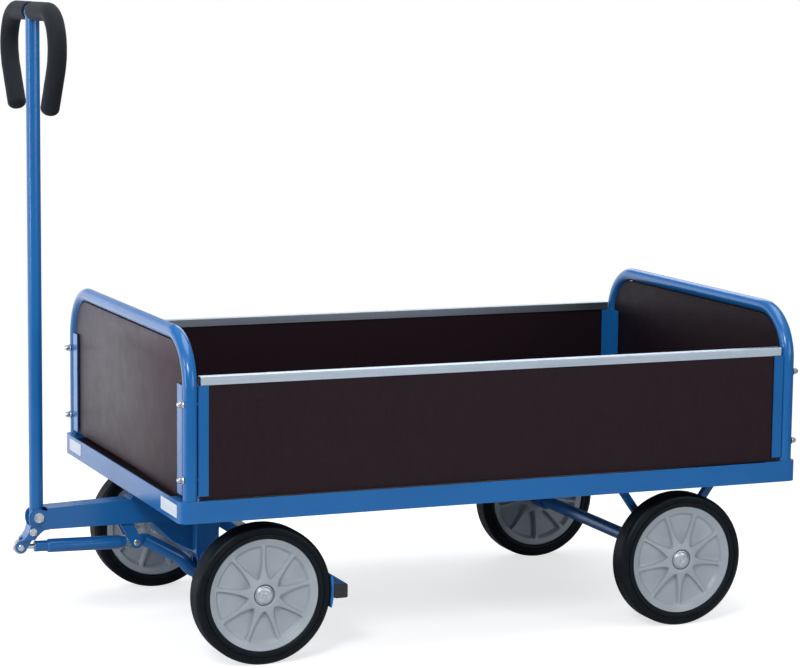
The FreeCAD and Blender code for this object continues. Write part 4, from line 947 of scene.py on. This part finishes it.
def chassis_welds():
    """Edges of the front cross members on the upper plate; feet and hubs of the rear struts."""
    parts = []
    member_edges = 80 * MM, 120 * MM
    plate_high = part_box("turntable_upper_plate")[1]
    centre = box_centre("turntable_upper_plate")
    for side in (-1, 1):
        for edge in member_edges:
            reach = math.sqrt((plate_high.x - centre.x) ** 2 - edge ** 2) - 6 * MM
            y = Vector((0, reach, 0))
            at = Vector((centre.x + side * edge, 0, plate_high.z))
            parts.append(bead(at - y, at - y * 0.4))
            parts.append(bead(at + y * 0.4, at + y))
    axle = box_centre("rear_axle")
    foot_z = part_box("cross_members")[0].z - 4.2 * MM
    strut_spread, strut_out, half_foot, half_hub = 108 * MM, 265 * MM, 7 * MM, 15 * MM
    half_bead = Vector((half_foot, 0, 0))
    thin = 1.8 * MM
    for sign in SIDES.values():
        for flank in (-1, 1):
            y = sign * strut_out + flank * half_foot
            for leg in (-1, 1):
                at = Vector((axle.x + leg * strut_spread, y, foot_z))
                parts.append(bead(at - half_bead, at + half_bead, thin))
            at = Vector((axle.x, sign * strut_out + flank * half_hub, axle.z))
            parts.append(ring_bead(at, (0, 1, 0), 13.4 * MM, thin))
    return parts


def bogie_welds():
    """Lower plate on the beam, centre post under the beam and on the front axle."""
    parts = []
    beam_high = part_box("drawbar_beam")[1]
    post_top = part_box("axle_post")[1].z
    plate_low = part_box("turntable_lower_plate")[0]
    axle = box_centre("front_axle")
    front_bead, back_bead = Vector((70 * MM, 0, 0)), Vector((50 * MM, 0, 0))
    half_bead = Vector((20 * MM, 0, 0))
    post_face = 22.6 * MM
    for sign in SIDES.values():
        y = sign * beam_high.y
        front = Vector((plate_low.x + 14 * MM, y, plate_low.z))
        back = Vector((beam_high.x - 4 * MM, y, plate_low.z))
        parts.append(bead(front, front + front_bead))
        parts.append(bead(back - back_bead, back))
        foot = Vector((axle.x, y, post_top + 0.3 * MM))
        parts.append(bead(foot - half_bead, foot + half_bead))
        beside_post = Vector((axle.x, sign * post_face, axle.z))
        parts.append(ring_bead(beside_post, (0, 1, 0), 13.6 * MM))
    return parts


def drawbar_welds():
    """The handle bow across the top of the drawbar."""
    steps = 72
    tube = box_centre("drawbar_tube")
    tube_radius = 12.5 * MM
    bow_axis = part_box("handle_bow")[1].z - tube_radius
    saddle = []
    for i in range(steps):
        angle = FULL_TURN * i / steps
        x = (tube_radius + 0.2 * MM) * math.cos(angle)
        y = (tube_radius + 0.2 * MM) * math.sin(angle)
        drop = math.sqrt(max(0.0, (tube_radius + 0.1 * MM) ** 2 - x * x))
        saddle.append(Vector((tube.x + x, y, bow_axis - drop)))
    return [saddle_bead(saddle)]


def brake_welds():
    """The bow tube on the brake bar."""
    bar_low, bar_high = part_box("brake_bar")
    at = Vector((bar_low.x - 0.1 * MM, 0, (bar_low.z + bar_high.z) / 2 - 0.6 * MM))
    return [ring_bead(at, (1, 0, 0), 12.2 * MM, 1.9 * MM)]


def welds():
    """One piece of paint-covered beads for each body that has some."""
    for body, parts in (("chassis", chassis_welds()), ("bogie", bogie_welds()),
                        ("drawbar", drawbar_welds()), ("brake_frame", brake_welds())):
        points, faces = merge(parts)
        new_piece(body + "_welds", points, faces, "blue_paint", body)


# ---------------------------------------------------------------- stage

def platform_middle():
    """The point on the ground below the middle of the platform."""
    middle = box_centre("deck_frame")
    return Vector((middle.x, middle.y, 0))


def floor():
    """A large sheet just under the wheels."""
    half = 12.0
    corners = [(-half, -half, 0), (half, -half, 0), (half, half, 0), (-half, half, 0)]
    mesh = bpy.data.meshes.new("floor")
    mesh.from_pydata(corners, [], [(0, 1, 2, 3)])
    mesh.materials.append(floor_paper())
    piece = bpy.data.objects.new("floor", mesh)
    piece.location = (0, 0, -0.2 * MM)
    bpy.context.scene.collection.objects.link(piece)


def soft_light(name, at, aim, width, height, power):
    """A soft box of the given size in metres and power in watts, turned to face a point."""
    data = bpy.data.lights.new(name, "AREA")
    data.shape = "RECTANGLE"
    data.size = width
    data.size_y = height
    data.energy = power
    light = bpy.data.objects.new(name, data)
    light.location = at
    light.rotation_mode = "QUATERNION"
    light.rotation_quaternion = (Vector(aim) - Vector(at)).to_track_quat("-Z", "Y")
    bpy.context.scene.collection.objects.link(light)


def studio():
    """White for the camera. Objects see a bright wall behind and to the left, a softer
    ceiling, and a dim room on the camera's side; soft boxes do the rest."""
    bright_side, dim_side = (-0.64, 0.77, 0.0), 0.14
    world = bpy.data.worlds.new("studio")
    bpy.context.scene.world = world
    world.use_nodes = True
    tree = world.node_tree
    output = next(n for n in tree.nodes if n.type == "OUTPUT_WORLD")

    def node(kind, inputs, **settings):
        """A new node of the world's tree."""
        made = tree.nodes.new(kind)
        for key, value in settings.items():
            setattr(made, key, value)
        for key, value in inputs.items():
            if isinstance(value, bpy.types.NodeSocket):
                tree.links.new(value, made.inputs[key])
            else:
                made.inputs[key].default_value = value
        return made

    def ramp(value, low, high, to_low, to_high):
        """Map low..high softly to to_low..to_high, held at both ends."""
        inputs = {"Value": value, "From Min": low, "From Max": high, "To Min": to_low,
                  "To Max": to_high}
        return node("ShaderNodeMapRange", inputs, interpolation_type="SMOOTHSTEP").outputs[0]

    ray = tree.nodes.new("ShaderNodeTexCoord").outputs["Generated"]
    toward = node("ShaderNodeVectorMath", {0: ray, 1: bright_side},
                  operation="DOT_PRODUCT").outputs["Value"]
    up = node("ShaderNodeSeparateXYZ", {0: ray}).outputs[2]
    wall = ramp(toward, 0.40, 0.78, 0.0, 1.45)
    low_part = ramp(up, 0.12, 0.45, 1.0, 0.0)
    wall = node("ShaderNodeMath", {0: wall, 1: low_part, 2: dim_side},
                operation="MULTIPLY_ADD").outputs[0]
    ceiling = ramp(up, 0.35, 0.75, 0.0, 0.5)
    strength = node("ShaderNodeMath", {0: wall, 1: ceiling}, operation="MAXIMUM").outputs[0]
    room = node("ShaderNodeBackground", {"Color": (0.86, 0.91, 1.0, 1), "Strength": strength})
    seen = node("ShaderNodeBackground", {"Color": (1, 1, 1, 1), "Strength": 1.0})
    is_camera = tree.nodes.new("ShaderNodeLightPath").outputs["Is Camera Ray"]
    both = node("ShaderNodeMixShader", {0: is_camera, 1: room.outputs[0], 2: seen.outputs[0]})
    tree.links.new(both.outputs[0], output.inputs["Surface"])
    middle = platform_middle() + Vector((0, 0, 0.4))
    # name, place, width and height in metres, watts
    for name, at, width, height, power in (("key", (-2.2, -3.0, 2.7), 0.9, 1.1, 78),
                                           ("front_strip", (-3.3, -0.6, 1.3), 0.4, 2.0, 26),
                                           ("overhead", (0.3, -0.2, 3.2), 3.0, 2.0, 62),
                                           ("fill", (2.3, -3.6, 1.5), 1.2, 1.6, 30),
                                           ("behind", (1.8, 3.2, 2.2), 2.2, 1.4, 20),
                                           ("glint", (0.9, -4.3, 0.8), 0.9, 0.7, 9)):
        soft_light(name, at, middle, width, height, power)


def camera():
    """A long lens at the photo's angle, from the drawbar's right-hand side. The place is in
    metres from the middle of the platform, on the ground; the angles are in radians."""
    offset = Vector((-1.9677, -4.6244, 1.2150))
    yaw, pitch, roll = 0.393, 0.137, 0.011
    ahead = Vector((math.sin(yaw) * math.cos(pitch), math.cos(yaw) * math.cos(pitch),
                    -math.sin(pitch)))
    right = Vector((math.cos(yaw), -math.sin(yaw), 0))
    up = right.cross(ahead)
    level_right = right * math.cos(roll) + up * math.sin(roll)
    level_up = up * math.cos(roll) - right * math.sin(roll)
    data = bpy.data.cameras.new("camera")
    data.sensor_width = 36
    data.lens = 119.86
    data.clip_end = 100
    view = bpy.data.objects.new("camera", data)
    turn = Matrix((level_right, level_up, -ahead)).transposed()
    view.matrix_world = Matrix.Translation(platform_middle() + offset) @ turn.to_4x4()
    bpy.context.scene.collection.objects.link(view)
    bpy.context.scene.camera = view


# ---------------------------------------------------------------- build

dress_cad_nodes()
wheels()
hub_caps()
for grip_side, grip_sign in SIDES.items():
    grip(grip_side, grip_sign)
end_panels()
brake_strut()
dome_nuts()
cross_bolt("drawbar_pivot_bolt", "bogie", across=7.6 * MM, thick=6.4 * MM, radius=5 * MM,
           washer_radius=9.2 * MM)
cross_bolt("lever_stop_bolt", "brake_lever", across=5.8 * MM, thick=5.0 * MM, radius=4 * MM,
           washer_radius=7.1 * MM)
cross_bolt("lever_pin", "brake_lever", across=6.2 * MM, thick=2.2 * MM, radius=5 * MM)
cross_bolt("bow_pin", "brake_frame", across=6.0 * MM, thick=2.0 * MM, radius=4 * MM)
welds()
floor()
studio()
camera()
bpy.context.scene.view_settings.view_transform = "Standard"
